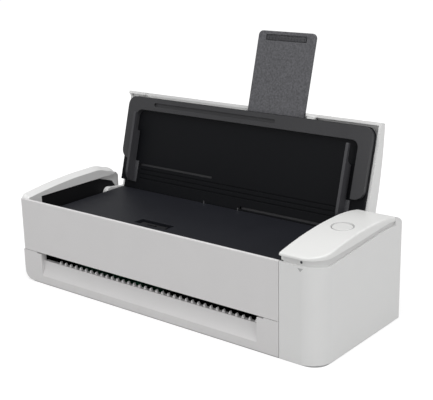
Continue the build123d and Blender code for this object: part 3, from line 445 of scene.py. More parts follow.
def rib_row_tree(name, mat):
    """Node tree for a row of small upright ribs that narrow towards their tips."""
    tree = bpy.data.node_groups.new(name, "GeometryNodeTree")
    tree.interface.new_socket("Geometry", in_out="OUTPUT", socket_type="NodeSocketGeometry")
    for socket, kind in RIB_SOCKETS.items():
        tree.interface.new_socket(socket, in_out="INPUT", socket_type="NodeSocket" + kind)
    given = tree.nodes.new("NodeGroupInput").outputs
    steps = {"Count": given["Count"], "Start Location": given["Start"], "Offset": given["Step"]}
    line = add_node(tree, "GeometryNodeMeshLine", steps, mode="OFFSET").outputs["Mesh"]
    rib = add_node(tree, "GeometryNodeMeshCube", {"Size": given["Size"]}).outputs["Mesh"]
    where = tree.nodes.new("GeometryNodeInputPosition").outputs["Position"]
    parts = add_node(tree, "ShaderNodeSeparateXYZ", {"Vector": where}).outputs
    upper = add_node(tree, "FunctionNodeCompare", {}, data_type="FLOAT", operation="GREATER_THAN")
    feed(tree, upper, {"A": parts["Z"], "B": 0.0})
    narrow = reckoned(tree, "ShaderNodeMath", "MULTIPLY", parts["X"], given["Tip"])["Value"]
    tip = add_node(tree, "ShaderNodeCombineXYZ", {"X": narrow, "Y": parts["Y"], "Z": parts["Z"]})
    moved = {"Geometry": rib, "Selection": upper.outputs["Result"], "Position": tip.outputs["Vector"]}
    shape = add_node(tree, "GeometryNodeSetPosition", moved).outputs["Geometry"]
    row = add_node(tree, "GeometryNodeInstanceOnPoints", {"Points": line, "Instance": shape})
    solid = add_node(tree, "GeometryNodeRealizeInstances", {"Geometry": row.outputs["Instances"]})
    coloured = {"Geometry": solid.outputs["Geometry"], "Material": mat}
    ribs = add_node(tree, "GeometryNodeSetMaterial", coloured).outputs["Geometry"]
    add_node(tree, "NodeGroupOutput", {"Geometry": ribs})
    return tree


def rib_row(name, mat, count, start, step, size, tip=1.0, edge=0.0):
    """A row of ribs as one plain mesh; start is the middle of the first rib."""
    obj = linked(name, bpy.data.meshes.new(name))
    row = obj.modifiers.new("rib_row", "NODES")
    row.node_group = rib_row_tree(name + "_tree", mat)
    wanted = {"Count": count, "Start": tuple(start), "Step": tuple(step), "Size": tuple(size), "Tip": tip}
    for socket in row.node_group.interface.items_tree:
        if socket.in_out == "INPUT":
            row[socket.identifier] = wanted[socket.name]
    if edge:
        ease = obj.modifiers.new("eased_edges", "BEVEL")
        ease.width = edge
        ease.segments = EDGE_STEPS
    made_plain(obj)
    return obj


def bar(name, low, high, mat, edge):
    """A straight moulded bar between two corners, with eased edges."""
    bm = bmesh.new()
    bmesh.ops.create_cube(bm, size=1.0)
    middle = (Vector(low) + Vector(high)) / 2
    size = Vector(high) - Vector(low)
    for vert in bm.verts:
        vert.co = middle + vert.co * size
    bmesh.ops.bevel(bm, geom=bm.edges[:], offset=edge, segments=EDGE_STEPS, affect="EDGES", profile=0.5)
    return closed_up(name, bm, mat, BAR_SHARP)


comb_bar_low = (comb_low.x, comb_high.y - COMB_BAR_DEPTH, comb_low.z)
comb_bar_high = (comb_high.x, comb_high.y, comb_low.z + COMB_BAR_HEIGHT)
comb_bar = bar("comb_bar", comb_bar_low, comb_bar_high, front_white, COMB_BAR_EDGE)
comb_start = Vector((comb_high.x - COMB_FIRST, comb_low.y, comb_high.z))
comb_start += Vector((0.0, COMB_TOOTH.y, -COMB_TOOTH.z)) / 2
comb_step = (-COMB_PITCH, 0.0, 0.0)
teeth = rib_row("comb_teeth", front_white, COMB_TEETH, comb_start, comb_step, COMB_TOOTH, COMB_TIP, COMB_EDGE)
comb = merged("static_comb", [comb_bar, teeth])
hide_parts("slot_comb")
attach(comb, "body")

# Left cover
# A white ABS side shell that wraps over the left edge of the body and rolls
# down round the lid hinge at the back.
SIDE_EDGE = 0.0005
SHELL_WHITE = (0.75, 0.75, 0.745)
shell_white = plastic("shell_white", SHELL_WHITE, rough=0.40, grain=0.0004, depth=0.000012, mottle=0.01)
softened("left_side_cover", "left_cover_shell", SIDE_EDGE, shell_white, "body")

# Right housing
# The deep white shell at the right end. It holds the drive and the button
# board. Its front corner is large and round, and behind the cap it rises to
# the cap's crown and rolls down to the back.
CORNER_STEPS = 8
PAST = 0.001
NEARLY = 0.999
LIP_FRONT = 0.0435
LIP_PLAN_R = 0.0050
BACK_R = 0.0160
BACK_START = math.radians(68.0)
BACK_STEPS = 16
CROWN_STEPS = 5
HOUSING_EDGE = 0.0006
stand_up = Matrix(((0, 0, 1, 0), (1, 0, 0, 0), (0, 1, 0, 0), (0, 0, 0, 1)))
housing_low, housing_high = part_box("right_housing")
cap_low, cap_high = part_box("control_panel")
lip_mid = (cap_low.x + cap_high.x) / 2
cap_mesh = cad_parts["control_panel"].data
cap_tree = BVHTree.FromPolygons([v.co for v in cap_mesh.vertices], [p.vertices for p in cap_mesh.polygons])


def rounded(corners):
    """Outline through square corners, each given as two coordinates and the radius of its arc."""
    points = []
    for i, (u, v, radius) in enumerate(corners):
        here = Vector((u, v))
        if not radius:
            points.append(here)
            continue
        before = (Vector(corners[i - 1][:2]) - here).normalized()
        after = (Vector(corners[(i + 1) % len(corners)][:2]) - here).normalized()
        centre = here + (before + after) * radius
        for k in range(CORNER_STEPS + 1):
            angle = 0.5 * math.pi * k / CORNER_STEPS
            points.append(centre - (after * math.cos(angle) + before * math.sin(angle)) * radius)
    return points


def prism(name, low_outline, high_outline, low, high, mat):
    """A closed solid between two outlines that have the same number of points."""
    bm = bmesh.new()
    under = [bm.verts.new((point.x, point.y, low)) for point in low_outline]
    over = [bm.verts.new((point.x, point.y, high)) for point in high_outline]
    bm.faces.new(under)
    bm.faces.new(over)
    skin(bm, [under, over])
    return closed_up(name, bm, mat)


def cut(obj, tools, operation="DIFFERENCE"):
    """Takes the tools' solids out of the piece, or adds them."""
    for tool in tools:
        bite = obj.modifiers.new("cut", "BOOLEAN")
        bite.operation = operation
        bite.solver = "EXACT"
        bite.object = tool
    made_plain(obj)
    for tool in tools:
        bpy.data.objects.remove(tool)


def box_outline(left, right, front, back, radius=0.0):
    """The outline of a rectangle, its corners rounded where a radius is given."""
    corners = [(left, front, radius), (right, front, radius)]
    corners += [(right, back, radius), (left, back, radius)]
    return rounded(corners)


def crown_at(y):
    """A point of the cap's crown, as a place along the scanner and a height."""
    hit = cap_tree.ray_cast(Vector((lip_mid, y, cap_high.z + PAST)), Vector((0, 0, -1)))[0]
    return Vector((y, hit.z))


def round_the_back(obj):
    """Raises the shell behind the cap to the cap's crown and rounds its rear top corner."""
    plan = [(cap_low.x, LIP_FRONT, 0.0), (housing_high.x, LIP_FRONT, 0.0)]
    plan += [(housing_high.x, housing_high.y, LIP_PLAN_R), (cap_low.x, housing_high.y, 0.0)]
    plan_shape = rounded(plan)
    lip = prism("housing_lip", plan_shape, plan_shape, cap_low.z, cap_high.z, shell_white)
    cut(obj, [lip], "UNION")
    roof = cap_high.z + PAST
    spoke = Vector((math.cos(BACK_START), math.sin(BACK_START))) * BACK_R
    arc_start = housing_high.y - BACK_R + spoke.x
    centre = crown_at(arc_start) - spoke
    outside = [Vector((LIP_FRONT - PAST, roof)), crown_at(LIP_FRONT - PAST)]
    for k in range(CROWN_STEPS):
        outside.append(crown_at(LIP_FRONT + (arc_start - LIP_FRONT) * k / CROWN_STEPS))
    for k in range(BACK_STEPS + 1):
        angle = BACK_START * (1 - k / BACK_STEPS)
        outside.append(centre + Vector((math.cos(angle), math.sin(angle))) * BACK_R)
    outside.append(Vector((housing_high.y + PAST, centre.y)))
    outside.append(Vector((housing_high.y + PAST, roof)))
    tool = prism("outside", outside, outside, housing_low.x - PAST, housing_high.x + PAST, shell_white)
    tool.data.transform(stand_up)
    cut(obj, [tool])


right_shell = softened("right_housing", "right_housing_shell", HOUSING_EDGE, shell_white,
                       "body", round_the_back)

# Rear cover
# A flat white panel screwed to the back of the chassis, with a row of
# ventilation slits and the openings for the two sockets.
REAR_EDGE = 0.0004
softened("rear_cover", "rear_cover_shell", REAR_EDGE, shell_white, "body")

# Data socket
# A folded steel shell round a plastic tongue. The tongue carries four gold
# plated contact strips, two on each face.
PORT_COLOUR = (0.55, 0.55, 0.56)
PORT_BRUSH = (300.0, 1500.0, 1500.0)
GOLD_COLOUR = (0.82, 0.60, 0.24)
GOLD_BRUSH = (1800.0, 200.0, 1800.0)
CONTACT = Vector((0.0011, 0.0070, 0.00012))
CONTACTS_A_FACE = 2
CONTACT_STEP = Vector((0.0028, 0.0, 0.0))
CONTACT_FROM_BACK = 0.0090
TONGUE_FACES = (0.0036, 0.0074)
port_metal = metal("port_metal", PORT_COLOUR, rough=0.28, brush=PORT_BRUSH)
finish_node("usb_socket", port_metal)
gold = metal("contact_gold", GOLD_COLOUR, rough=0.22, brush=GOLD_BRUSH)
usb_low, usb_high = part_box("usb_socket")
usb_middle = (usb_low.x + usb_high.x) / 2
contacts = []
for face_height in TONGUE_FACES:
    start = Vector((usb_middle, usb_high.y - CONTACT_FROM_BACK, usb_low.z + face_height)) - CONTACT_STEP / 2
    contacts.append(rib_row("contacts", gold, CONTACTS_A_FACE, start, CONTACT_STEP, CONTACT))
contact_strips = merged("contact_strips", contacts)
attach(contact_strips, "body")

# Power inlet
# A black moulded barrel socket. A spring sleeve of plated steel lines its
# round hole and a pin stands in the middle.
INLET_COLOUR = (0.016, 0.016, 0.018)
SLEEVE_OUT = 0.0031
SLEEVE_IN = 0.0027
SLEEVE_LENGTH = 0.0080
SLEEVE_SET_BACK = 0.0006
inlet_black = plastic("inlet_black", INLET_COLOUR, rough=0.5, grain=0.0005, depth=0.00002, shine=0.35)
finish_node("power_inlet", inlet_black)
dc_low, dc_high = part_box("power_inlet")
dc_middle = Vector(((dc_low.x + dc_high.x) / 2, dc_high.y - SLEEVE_SET_BACK, (dc_low.z + dc_high.z) / 2))
wall = [(SLEEVE_OUT, 0.0), (SLEEVE_OUT, SLEEVE_LENGTH), (SLEEVE_IN, SLEEVE_LENGTH), (SLEEVE_IN, 0.0)]
sleeve = turned("inlet_sleeve", wall, dc_middle, Vector((0, -1, 0)), port_metal, hollow=True)
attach(sleeve, "body")

# Trim band
# A light grey band under the control panel, set back from the white housing.
# Its grey is painted shade: with the set-back it makes the shadow line between
# the cap and the housing.
BAND_SHADE_GREY = (0.66, 0.66, 0.655)
BAND_EDGE = 0.0002
LIP_GAP = 0.0001
# The band's grey is painted shade for the shadow line under the cap.
band_painted_shade = plastic("band_painted_shade", BAND_SHADE_GREY, rough=0.48, grain=0.0004, depth=0.00001)
trim_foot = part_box("panel_trim")[0].z


def shorten(obj):
    """Ends the band, and the cap over it, before the housing's raised back."""
    rest = box_outline(cap_low.x - PAST, cap_high.x + PAST, LIP_FRONT - LIP_GAP, housing_high.y)
    cut(obj, [prism("rest", rest, rest, trim_foot - PAST, cap_high.z + PAST, obj.data.materials[0])])


band = softened("panel_trim", "trim_band", BAND_EDGE, band_painted_shade, "body", shorten)

# Control panel
# A satin white cap, crowned along its length, clipped over the band. Its white
# is set a little brighter than the shells'.
CAP_WHITE = (0.78, 0.78, 0.77)
CAP_EDGE = 0.0003
cap_white = plastic("cap_white", CAP_WHITE, rough=0.36, grain=0.0004, depth=0.000008, mottle=0.008, coat=0.08)
cap = softened("control_panel", "control_cap", CAP_EDGE, cap_white, "body", shorten)

# Lamp lens and its mark
# A smoked acrylic lens over the status lamp, pressed into the band, with a
# thin grey triangle under it that points down at the paper exit.
LENS_COLOUR = (0.03, 0.03, 0.035)
MARK_COLOUR = (0.42, 0.42, 0.42)
MARK_HALF = 0.0021
MARK_TOP = 0.0030
MARK_ROWS = 8
MARK_HEIGHT = 0.0024
MARK_LIFT = 0.00002
MARK_DEPTH = 0.0004
FAR = 1.0
lens_dark = plastic("lens_dark", LENS_COLOUR, rough=0.18, mottle=0.0)
finish_node("lamp_lens", lens_dark)
mark_grey = plastic("mark_grey", MARK_COLOUR, rough=0.5, grain=0.0004, depth=0.00001)


def wall_front(x, z, walls):
    """Where a level line from the front first meets one of the walls."""
    hits = [wall.ray_cast(Vector((x, -FAR, z)), Vector((0, 1, 0)))[0] for wall in walls]
    return min(hit.y for hit in hits if hit)


graph = bpy.context.evaluated_depsgraph_get()
front_walls = [BVHTree.FromObject(obj, graph) for obj in (right_shell, band, cap)]
lens_low, lens_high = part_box("lamp_lens")
lens_x = (lens_low.x + lens_high.x) / 2
mark_foot = lens_low.z - MARK_TOP - MARK_HEIGHT
bm = bmesh.new()
rows = []
for k in range(MARK_ROWS + 1):
    row = []
    for i in range(k + 1):
        x = lens_x + MARK_HALF * (2 * i - k) / MARK_ROWS
        z = mark_foot + MARK_HEIGHT * k / MARK_ROWS
        row.append(bm.verts.new((x, wall_front(x, z, front_walls) - MARK_LIFT, z)))
    rows.append(row)
for lower, upper in zip(rows, rows[1:]):
    for i in range(len(lower)):
        bm.faces.new((lower[i], upper[i], upper[i + 1]))
        if i:
            bm.faces.new((lower[i - 1], upper[i], lower[i]))
mark_rim = [row[0] for row in rows] + rows[-1][1:] + [row[-1] for row in rows[-2:0:-1]]
mark_back = [bm.verts.new(vert.co + Vector((0.0, MARK_DEPTH, 0.0))) for vert in mark_rim]
skin(bm, [mark_rim, mark_back])
bm.faces.new(mark_back)
mark = closed_up("lamp_mark", bm, mark_grey, SKIN_SHARP)
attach(mark, "body")

# Scan button
# A round white push button with an eased rim over a rubber dome. A soft grey
# ring round it on the crowned cap is painted shade of the gap round the button.
BUTTON_EDGE = 0.0004
GAP_SHADE_GREY = (0.42, 0.42, 0.42)
GAP_RING_IN = 0.00795
GAP_RING_OUT = 0.0085
GAP_RING_LIFT = 0.00006
GAP_RING_SINK = 0.0004
GAP_RING_SECTION = ((GAP_RING_IN, GAP_RING_LIFT), (GAP_RING_OUT, GAP_RING_LIFT), (GAP_RING_OUT, -GAP_RING_SINK), (GAP_RING_IN, -GAP_RING_SINK))
GAP_RING_STEPS = 96
softened("scan_button", "scan_button_cap", BUTTON_EDGE, cap_white, "button")
finish_node("button_dome", pad_rubber)
# The ring's grey is painted shade, the dark line of the gap round the button.
gap_shade_grey = plastic("gap_shade_grey", GAP_SHADE_GREY, rough=0.55, grain=0.0004, depth=0.00001)
button_low, button_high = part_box("scan_button")
button_x = (button_low.x + button_high.x) / 2
button_y = (button_low.y + button_high.y) / 2
cap_skin = BVHTree.FromObject(cap, graph)
ways_out = [2.0 * math.pi * i / GAP_RING_STEPS for i in range(GAP_RING_STEPS)]
bed = []
for angle in ways_out:
    over = Vector((button_x + GAP_RING_OUT * math.cos(angle), button_y + GAP_RING_OUT * math.sin(angle), FAR))
    bed.append(cap_skin.ray_cast(over, Vector((0, 0, -1)))[0].z)
bm = bmesh.new()
rings = []
for radius, lift in GAP_RING_SECTION:
    ring = []
    for angle, height in zip(ways_out, bed):
        x = button_x + radius * math.cos(angle)
        y = button_y + radius * math.sin(angle)
        ring.append(bm.verts.new((x, y, height + lift)))
    rings.append(ring)
skin(bm, rings + rings[:1])
gap_shade_ring = closed_up("button_gap_shade", bm, gap_shade_grey, SKIN_SHARP)
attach(gap_shade_ring, "body")

# Inner cover
# The dark flat cover over the paper path, moulded in black ABS with a fine
# spark-eroded face, and two small steel earthing clips at its back edge.
DECK_COLOUR = (0.0100, 0.0108, 0.0150)
DECK_EDGE = 0.0004
CLIP = Vector((0.0010, 0.0012, 0.0030))
CLIPS = 2
CLIP_TIP = 0.6
CLIP_EDGE = 0.0001
CLIP_FIRST = -0.0370
CLIP_STEP = (0.0362, 0.0, 0.0)
CLIP_FROM_BACK = 0.0016
CLIP_PROUD = 0.0024
deck_dark = plastic("deck_dark", DECK_COLOUR, rough=0.50, grain=0.0005, depth=0.00003, mottle=0.05,
                    shine=0.28)
softened("paper_deck", "inner_cover", DECK_EDGE, deck_dark, "body")
deck_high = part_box("paper_deck")[1]
clip_start = Vector((CLIP_FIRST, deck_high.y - CLIP_FROM_BACK, deck_high.z + CLIP_PROUD - CLIP.z / 2))
clips = rib_row("earthing_clips", port_metal, CLIPS, clip_start, CLIP_STEP, CLIP, CLIP_TIP, CLIP_EDGE)
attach(clips, "body")

# Release latch
# A black sliding tab in a recess of the inner cover, with a raised lip for a
# fingertip and three fine grip ribs on it.
TAB_RIB = Vector((0.0060, 0.00035, 0.0003))
TAB_RIBS = 3
TAB_RIB_STEP = (0.0, 0.0006, 0.0)
TAB_RIB_TIP = 0.96
TAB_RIB_EDGE = 0.00008
TAB_RIBS_AT = Vector((0.0130, 0.0004, -0.0001))
finish_node("deck_latch", guide_black)
latch_low, latch_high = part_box("deck_latch")
tab_start = Vector((latch_low.x, latch_low.y, latch_high.z)) + TAB_RIBS_AT
tab_ribs = rib_row("latch_grips", guide_black, TAB_RIBS, tab_start, TAB_RIB_STEP, TAB_RIB, TAB_RIB_TIP,
                   TAB_RIB_EDGE)
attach(tab_ribs, "deck_latch_body")

# Lid shell
# A glossy white shell, crowned across its back and rolled round the hinge
# line, with a long slot in its free edge for the paper support.
LID_WHITE = (0.77, 0.77, 0.765)
LID_EDGE = 0.0004
lid_white = plastic("lid_white", LID_WHITE, rough=0.34, grain=0.0004, depth=0.000008, mottle=0.008, coat=0.1)
softened("lid_shell", "lid_outer_shell", LID_EDGE, lid_white, "lid")

# Lid liner
# The dark inner moulding of the lid: a flat rim with a long shallow slot, round a
# sunken floor with cross grooves that the sheets lean on, and a slim cover behind
# the guides' racks. The one moulding is drawn in two tones: the rim's lighter
# charcoal is painted light from above, and the deeper black of the floor and the
# cover is painted shade.
LID_OPEN = math.radians(105.5)
RIM_PAINTED_LIGHT = (0.042, 0.042, 0.045)
FLOOR_PAINTED_SHADE = (0.0042, 0.0046, 0.0060)
LINER_LEFT = -0.1402
LINER_RIGHT = 0.1116
LINER_FRONT = -0.0523
LINER_BACK = 0.0238
RIM_END = 0.0038
RIM_FACE = 0.0656
RIM_BAND = 0.0110
RIM_CORNER = 0.0080
RIM_SUNK = 0.0006
RIM_EDGE = 0.0005
MOUTH_CORNER = 0.0060
MOUTH_DRAFT = 0.0008
SLOT_LEFT = -0.1080
SLOT_RIGHT = 0.0200
SLOT_HALF = 0.0016
SLOT_DEPTH = 0.0016
FLOOR_FACE = 0.0694
FLOOR_BACK = 0.0712
FLOOR_LEFT = -0.1406
FLOOR_RIGHT = 0.1120
FLOOR_FRONT = -0.0527
FLOOR_EDGE = 0.0002
TONGUE_LEFT = -0.1358
TONGUE_RIGHT = 0.1078
TONGUE_END = 0.0368
GROOVES = 3
GROOVE_LEFT = -0.118
GROOVE_RIGHT = 0.088
GROOVE_FIRST = 0.0116
GROOVE_PITCH = 0.0040
GROOVE_WIDTH = 0.0010
GROOVE_DEPTH = 0.0006
GUIDE_SLOTS = ((-0.131, -0.037, 0.0068, 0.0088), (-0.003, 0.100, 0.0270, 0.0290))
COVER_LOW = (-0.1340, 0.0050, 0.0746)
COVER_HIGH = (0.1030, 0.0320, 0.0754)
COVER_EDGE = 0.0002
# Painted light and shade: the rim is a lighter charcoal than the floor, though both are one moulding.
liner_rim_painted_light = plastic("liner_rim_painted_light", RIM_PAINTED_LIGHT, rough=0.46, grain=0.0005, depth=0.00003, mottle=0.05,
                    shine=0.3)
liner_floor_painted_shade = plastic("liner_floor_painted_shade", FLOOR_PAINTED_SHADE, rough=0.52, grain=0.0005, depth=0.00003, mottle=0.05,
                      shine=0.12)
pin_low, pin_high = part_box("hinge_pins")
hinge = Vector((0.0, (pin_low.y + pin_high.y) / 2, (pin_low.z + pin_high.z) / 2))
to_closed = Matrix.Translation(hinge) @ Matrix.Rotation(LID_OPEN, 4, "X") @ Matrix.Translation(-hinge)
to_open = to_closed.inverted()


def rim_outline(inward):
    """The horseshoe of the rim, its mouth drawn in by a distance."""
    left = LINER_LEFT + RIM_BAND + inward
    right = LINER_RIGHT - RIM_BAND - inward
    front = LINER_FRONT + RIM_BAND + inward
    corners = [(LINER_LEFT, RIM_END, RIM_CORNER), (LINER_LEFT, LINER_FRONT, RIM_CORNER)]
    corners += [(LINER_RIGHT, LINER_FRONT, RIM_CORNER), (LINER_RIGHT, RIM_END, RIM_CORNER)]
    corners += [(right, RIM_END, 0.0), (right, front, MOUTH_CORNER)]
    corners += [(left, front, MOUTH_CORNER), (left, RIM_END, 0.0)]
    return rounded(corners)


rim_foot = FLOOR_FACE + RIM_SUNK
rim = prism("liner_rim_painted_light", rim_outline(0.0), rim_outline(MOUTH_DRAFT), RIM_FACE, rim_foot, liner_rim_painted_light)
slot_y = LINER_FRONT + RIM_BAND / 2
slot_ends = (SLOT_LEFT - SLOT_HALF, SLOT_RIGHT + SLOT_HALF)
slot_sides = (slot_y - SLOT_HALF, slot_y + SLOT_HALF)
slot_shape = box_outline(slot_ends[0], slot_ends[1], slot_sides[0], slot_sides[1], SLOT_HALF * NEARLY)
slot_tool = prism("rim_slot", slot_shape, slot_shape, RIM_FACE - PAST, RIM_FACE + SLOT_DEPTH, liner_rim_painted_light)
cut(rim, [slot_tool])
eased(rim, RIM_EDGE)
rim.data.transform(to_open)
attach(rim, "lid")

floor_corners = [(FLOOR_LEFT, LINER_BACK, 0.0), (FLOOR_LEFT, FLOOR_FRONT, RIM_CORNER)]
floor_corners += [(FLOOR_RIGHT, FLOOR_FRONT, RIM_CORNER), (FLOOR_RIGHT, LINER_BACK, 0.0)]
floor_corners += [(TONGUE_RIGHT, LINER_BACK, 0.0), (TONGUE_RIGHT, TONGUE_END, 0.0)]
floor_corners += [(TONGUE_LEFT, TONGUE_END, 0.0), (TONGUE_LEFT, LINER_BACK, 0.0)]
floor_shape = rounded(floor_corners)
liner_plate = prism("liner_floor_painted_shade", floor_shape, floor_shape, FLOOR_FACE, FLOOR_BACK, liner_floor_painted_shade)
tools = []
for k in range(GROOVES):
    groove_y = GROOVE_FIRST + k * GROOVE_PITCH
    groove = box_outline(GROOVE_LEFT, GROOVE_RIGHT, groove_y, groove_y + GROOVE_WIDTH)
    tools.append(prism("groove", groove, groove, FLOOR_FACE - PAST, FLOOR_FACE + GROOVE_DEPTH, liner_floor_painted_shade))
for left, right, front, back in GUIDE_SLOTS:
    way = box_outline(left, right, front, back)
    tools.append(prism("guide_way", way, way, FLOOR_FACE - PAST, FLOOR_BACK + PAST, liner_floor_painted_shade))
cut(liner_plate, tools)
eased(liner_plate, FLOOR_EDGE)
liner_plate.data.transform(to_open)
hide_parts("lid_liner")
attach(liner_plate, "lid")
rack_cover = bar("rack_cover", COVER_LOW, COVER_HIGH, liner_floor_painted_shade, COVER_EDGE)
rack_cover.data.transform(to_open)
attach(rack_cover, "lid")

# Paper guides
# Two charcoal blades with hooked fingers that slide on the liner, joined
# behind it by racks on one pinion so that they move alike.
BLADE_EDGE = 0.0598
BLADE_FOOT = 0.0690
BLADE_FRONT = -0.0220
BLADE_BACK = 0.0240
BLADE_ROUND = 0.0091
FINGER_TIP = -0.0384
FINGER_R = 0.0013
FINGER_ROOT = 0.0060
SLED_LOW = 0.0681
SLED_HIGH = 0.06915
RACK_FROM = 0.0692
BLADE_SOFT = 0.0003
SLED_SOFT = 0.0002
LEFT_BLADE = (-0.1276, -0.1252)
LEFT_SLED = (-0.1315, -0.1210)
LEFT_SLED_ENDS = (0.0050, 0.0240)
RIGHT_BLADE = (0.0932, 0.0956)
RIGHT_SLED = (0.0890, 0.0995)
RIGHT_SLED_ENDS = (0.0050, 0.0330)
GUIDE_GREY = (0.050, 0.050, 0.055)
guide_grey = plastic("guide_grey", GUIDE_GREY, rough=0.44, grain=0.0005, depth=0.00002, shine=0.4)
blade_corners = [(BLADE_BACK, BLADE_FOOT, 0.0), (BLADE_BACK, BLADE_EDGE, BLADE_ROUND)]
finger_top = BLADE_EDGE + 2 * FINGER_R
blade_corners += [(FINGER_TIP, BLADE_EDGE, FINGER_R * NEARLY), (FINGER_TIP, finger_top, FINGER_R * NEARLY)]
blade_corners += [(BLADE_FRONT, finger_top, FINGER_ROOT), (BLADE_FRONT, BLADE_FOOT, 0.0)]
blade_shape = rounded(blade_corners)


def rack_of(node):
    """The rack and neck of a guide, without the parts that show on the liner."""
    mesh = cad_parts[node].data.copy()
    mesh.transform(to_closed)
    bm = bmesh.new()
    bm.from_mesh(mesh)
    bmesh.ops.remove_doubles(bm, verts=bm.verts, dist=WELD)
    shown = [face for face in bm.faces if face.calc_center_median().z < RACK_FROM]
    bmesh.ops.delete(bm, geom=shown, context="FACES")
    bm.to_mesh(mesh)
    bm.free()
    mesh.shade_flat()
    return linked(node + "_rack", mesh)


def paper_guide(node, name, blade_x, sled_x, sled_y, body):
    """A guide's blade with its hooked finger, on a sled that carries the rack."""
    blade = prism(name + "_blade", blade_shape, blade_shape, blade_x[0], blade_x[1], guide_grey)
    blade.data.transform(stand_up)
    eased(blade, BLADE_SOFT)
    sled_low = (sled_x[0], sled_y[0], SLED_LOW)
    sled_high = (sled_x[1], sled_y[1], SLED_HIGH)
    sled = bar(name + "_sled", sled_low, sled_high, guide_grey, SLED_SOFT)
    guide = merged(name, [blade, sled, rack_of(node)])
    guide.data.transform(to_open)
    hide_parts(node)
    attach(guide, body)


paper_guide("left_guide", "left_side_guide", LEFT_BLADE, LEFT_SLED, LEFT_SLED_ENDS, "left_paper_guide")
paper_guide("right_guide", "right_side_guide", RIGHT_BLADE, RIGHT_SLED, RIGHT_SLED_ENDS, "right_paper_guide")

# Paper support
# A charcoal plate with a coarse spark-eroded grain that swings up out of the
# lid's slot on a headed pin. A ribbed grip bar lies in its finger recess.
SUPPORT_COLOUR = (0.098, 0.098, 0.106)
SUPPORT_EDGE = 0.0004
PIN_COLOUR = (0.03, 0.03, 0.032)
SUPPORT_DARK = (0.050, 0.050, 0.055)
SUPPORT_REACH = 0.1550
SUPPORT_TOP = 0.0717
GRIP_FROM_TIP = 0.0028
GRIP_SUNK = 0.0014
GRIP_BAR = Vector((0.0384, 0.0034, 0.0010))
GRIP_BAR_FOOT = 0.0002
GRIP_BAR_EDGE = 0.0002
GRIP_RIBS = 12
GRIP_RIB = Vector((0.0008, 0.0026, 0.0004))
GRIP_RIB_PROUD = 0.0001
GRIP_RIB_EDGE = 0.0001
GRIP_RIB_SPAN = 0.9
support_grain = plastic("support_grain", SUPPORT_COLOUR, rough=0.58, grain=0.0016, depth=0.00028,
                        shine=0.35, speckle=0.30)
softened("extension_plate", "paper_support", SUPPORT_EDGE, support_grain, "extension")
pin_black = metal("pin_black", PIN_COLOUR, rough=0.5)
finish_node("extension_pivot", pin_black)
support_low, support_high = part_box("extension_plate")
support_mid = (support_low.x + support_high.x) / 2
grip_y = hinge.y - SUPPORT_REACH + GRIP_FROM_TIP
grip_bed = SUPPORT_TOP + GRIP_SUNK
grip_face = grip_bed - GRIP_BAR.z
bar_low = (support_mid - GRIP_BAR.x / 2, grip_y - GRIP_BAR.y / 2, grip_face)
bar_high = (support_mid + GRIP_BAR.x / 2, grip_y + GRIP_BAR.y / 2, grip_bed + GRIP_BAR_FOOT)
support_dark = plastic("support_dark", SUPPORT_DARK, rough=0.5, grain=0.0005, depth=0.00003, shine=0.35)
grip_bar = bar("grip_bar", bar_low, bar_high, support_dark, GRIP_BAR_EDGE)
rib_step = GRIP_BAR.x * GRIP_RIB_SPAN / (GRIP_RIBS - 1)
rib_start = (support_mid - rib_step * (GRIP_RIBS - 1) / 2, grip_y, grip_face - GRIP_RIB_PROUD)
rib_gap = (rib_step, 0.0, 0.0)
ribs = rib_row("grip_ribs", support_dark, GRIP_RIBS, rib_start, rib_gap, GRIP_RIB, edge=GRIP_RIB_EDGE)
grip = merged("support_grip", [grip_bar, ribs])
grip.data.transform(to_open)
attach(grip, "extension")

# Camera
# Placed where the photograph was taken from, found from the body's edges.
CAMERA_AT = Vector((0.4657, -0.5564, 0.2959))
YAW = math.radians(-38.91)
PITCH = math.radians(-16.56)
ROLL = math.radians(-1.25)
FOCAL_PIXELS = 966.5
PHOTO_WIDTH = 433.0
SENSOR = 36.0
NEAREST = 0.05
FURTHEST = 20.0
ahead = Vector((math.sin(YAW) * math.cos(PITCH), math.cos(YAW) * math.cos(PITCH), math.sin(PITCH)))
right = Vector((math.cos(YAW), -math.sin(YAW), 0.0))
above = right.cross(ahead)
tilted_right = right * math.cos(ROLL) + above * math.sin(ROLL)
tilted_above = above * math.cos(ROLL) - right * math.sin(ROLL)
camera_data = bpy.data.cameras.new("photo_camera")
camera_data.sensor_fit = "HORIZONTAL"
camera_data.sensor_width = SENSOR
camera_data.lens = FOCAL_PIXELS / PHOTO_WIDTH * SENSOR
camera_data.clip_start = NEAREST
camera_data.clip_end = FURTHEST
camera = linked("photo_camera", camera_data)
turn = Matrix((tilted_right, tilted_above, -ahead)).transposed()
camera.matrix_world = Matrix.Translation(CAMERA_AT) @ turn.to_4x4()
scene.camera = camera

# Studio
# A pale floor, a white room and three soft lamps. The floor glows only for
# what is seen straight, in gloss or through glass, so it stays white and
# still takes the object's shadow.
STUDIO_GREY = (0.44, 0.44, 0.44, 1)
STUDIO_ROUGH = 0.9
STUDIO_WHITE = (1.0, 1.0, 1.0, 1)
FOOTPRINT_R = 0.012
FOOTPRINT_EDGE = 0.0008
GLOW_START = 0.15
GLOW_NEAR = 0.65
GLOW_FAR = 0.82
GLOW_REACH = 0.60
FLOOR_DROP = 0.0004
FLOOR_HALF = 3.0
ROOM_LIGHT = 0.45
LAMPS = {
    "top_softbox": {"at": (0.1, -0.2, 1.3), "towards": (0.0, 0.0, 0.05), "size": (1.4, 1.2), "watts": 10.8},
    "right_softbox": {"at": (1.3, -0.3, 0.5), "towards": (0.1, 0.0, 0.05), "size": (0.9, 0.8), "watts": 4.6},
    "front_softbox": {"at": (-0.2, -1.4, 0.6), "towards": (0.0, 0.0, 0.05), "size": (1.2, 0.8), "watts": 3.6},
}


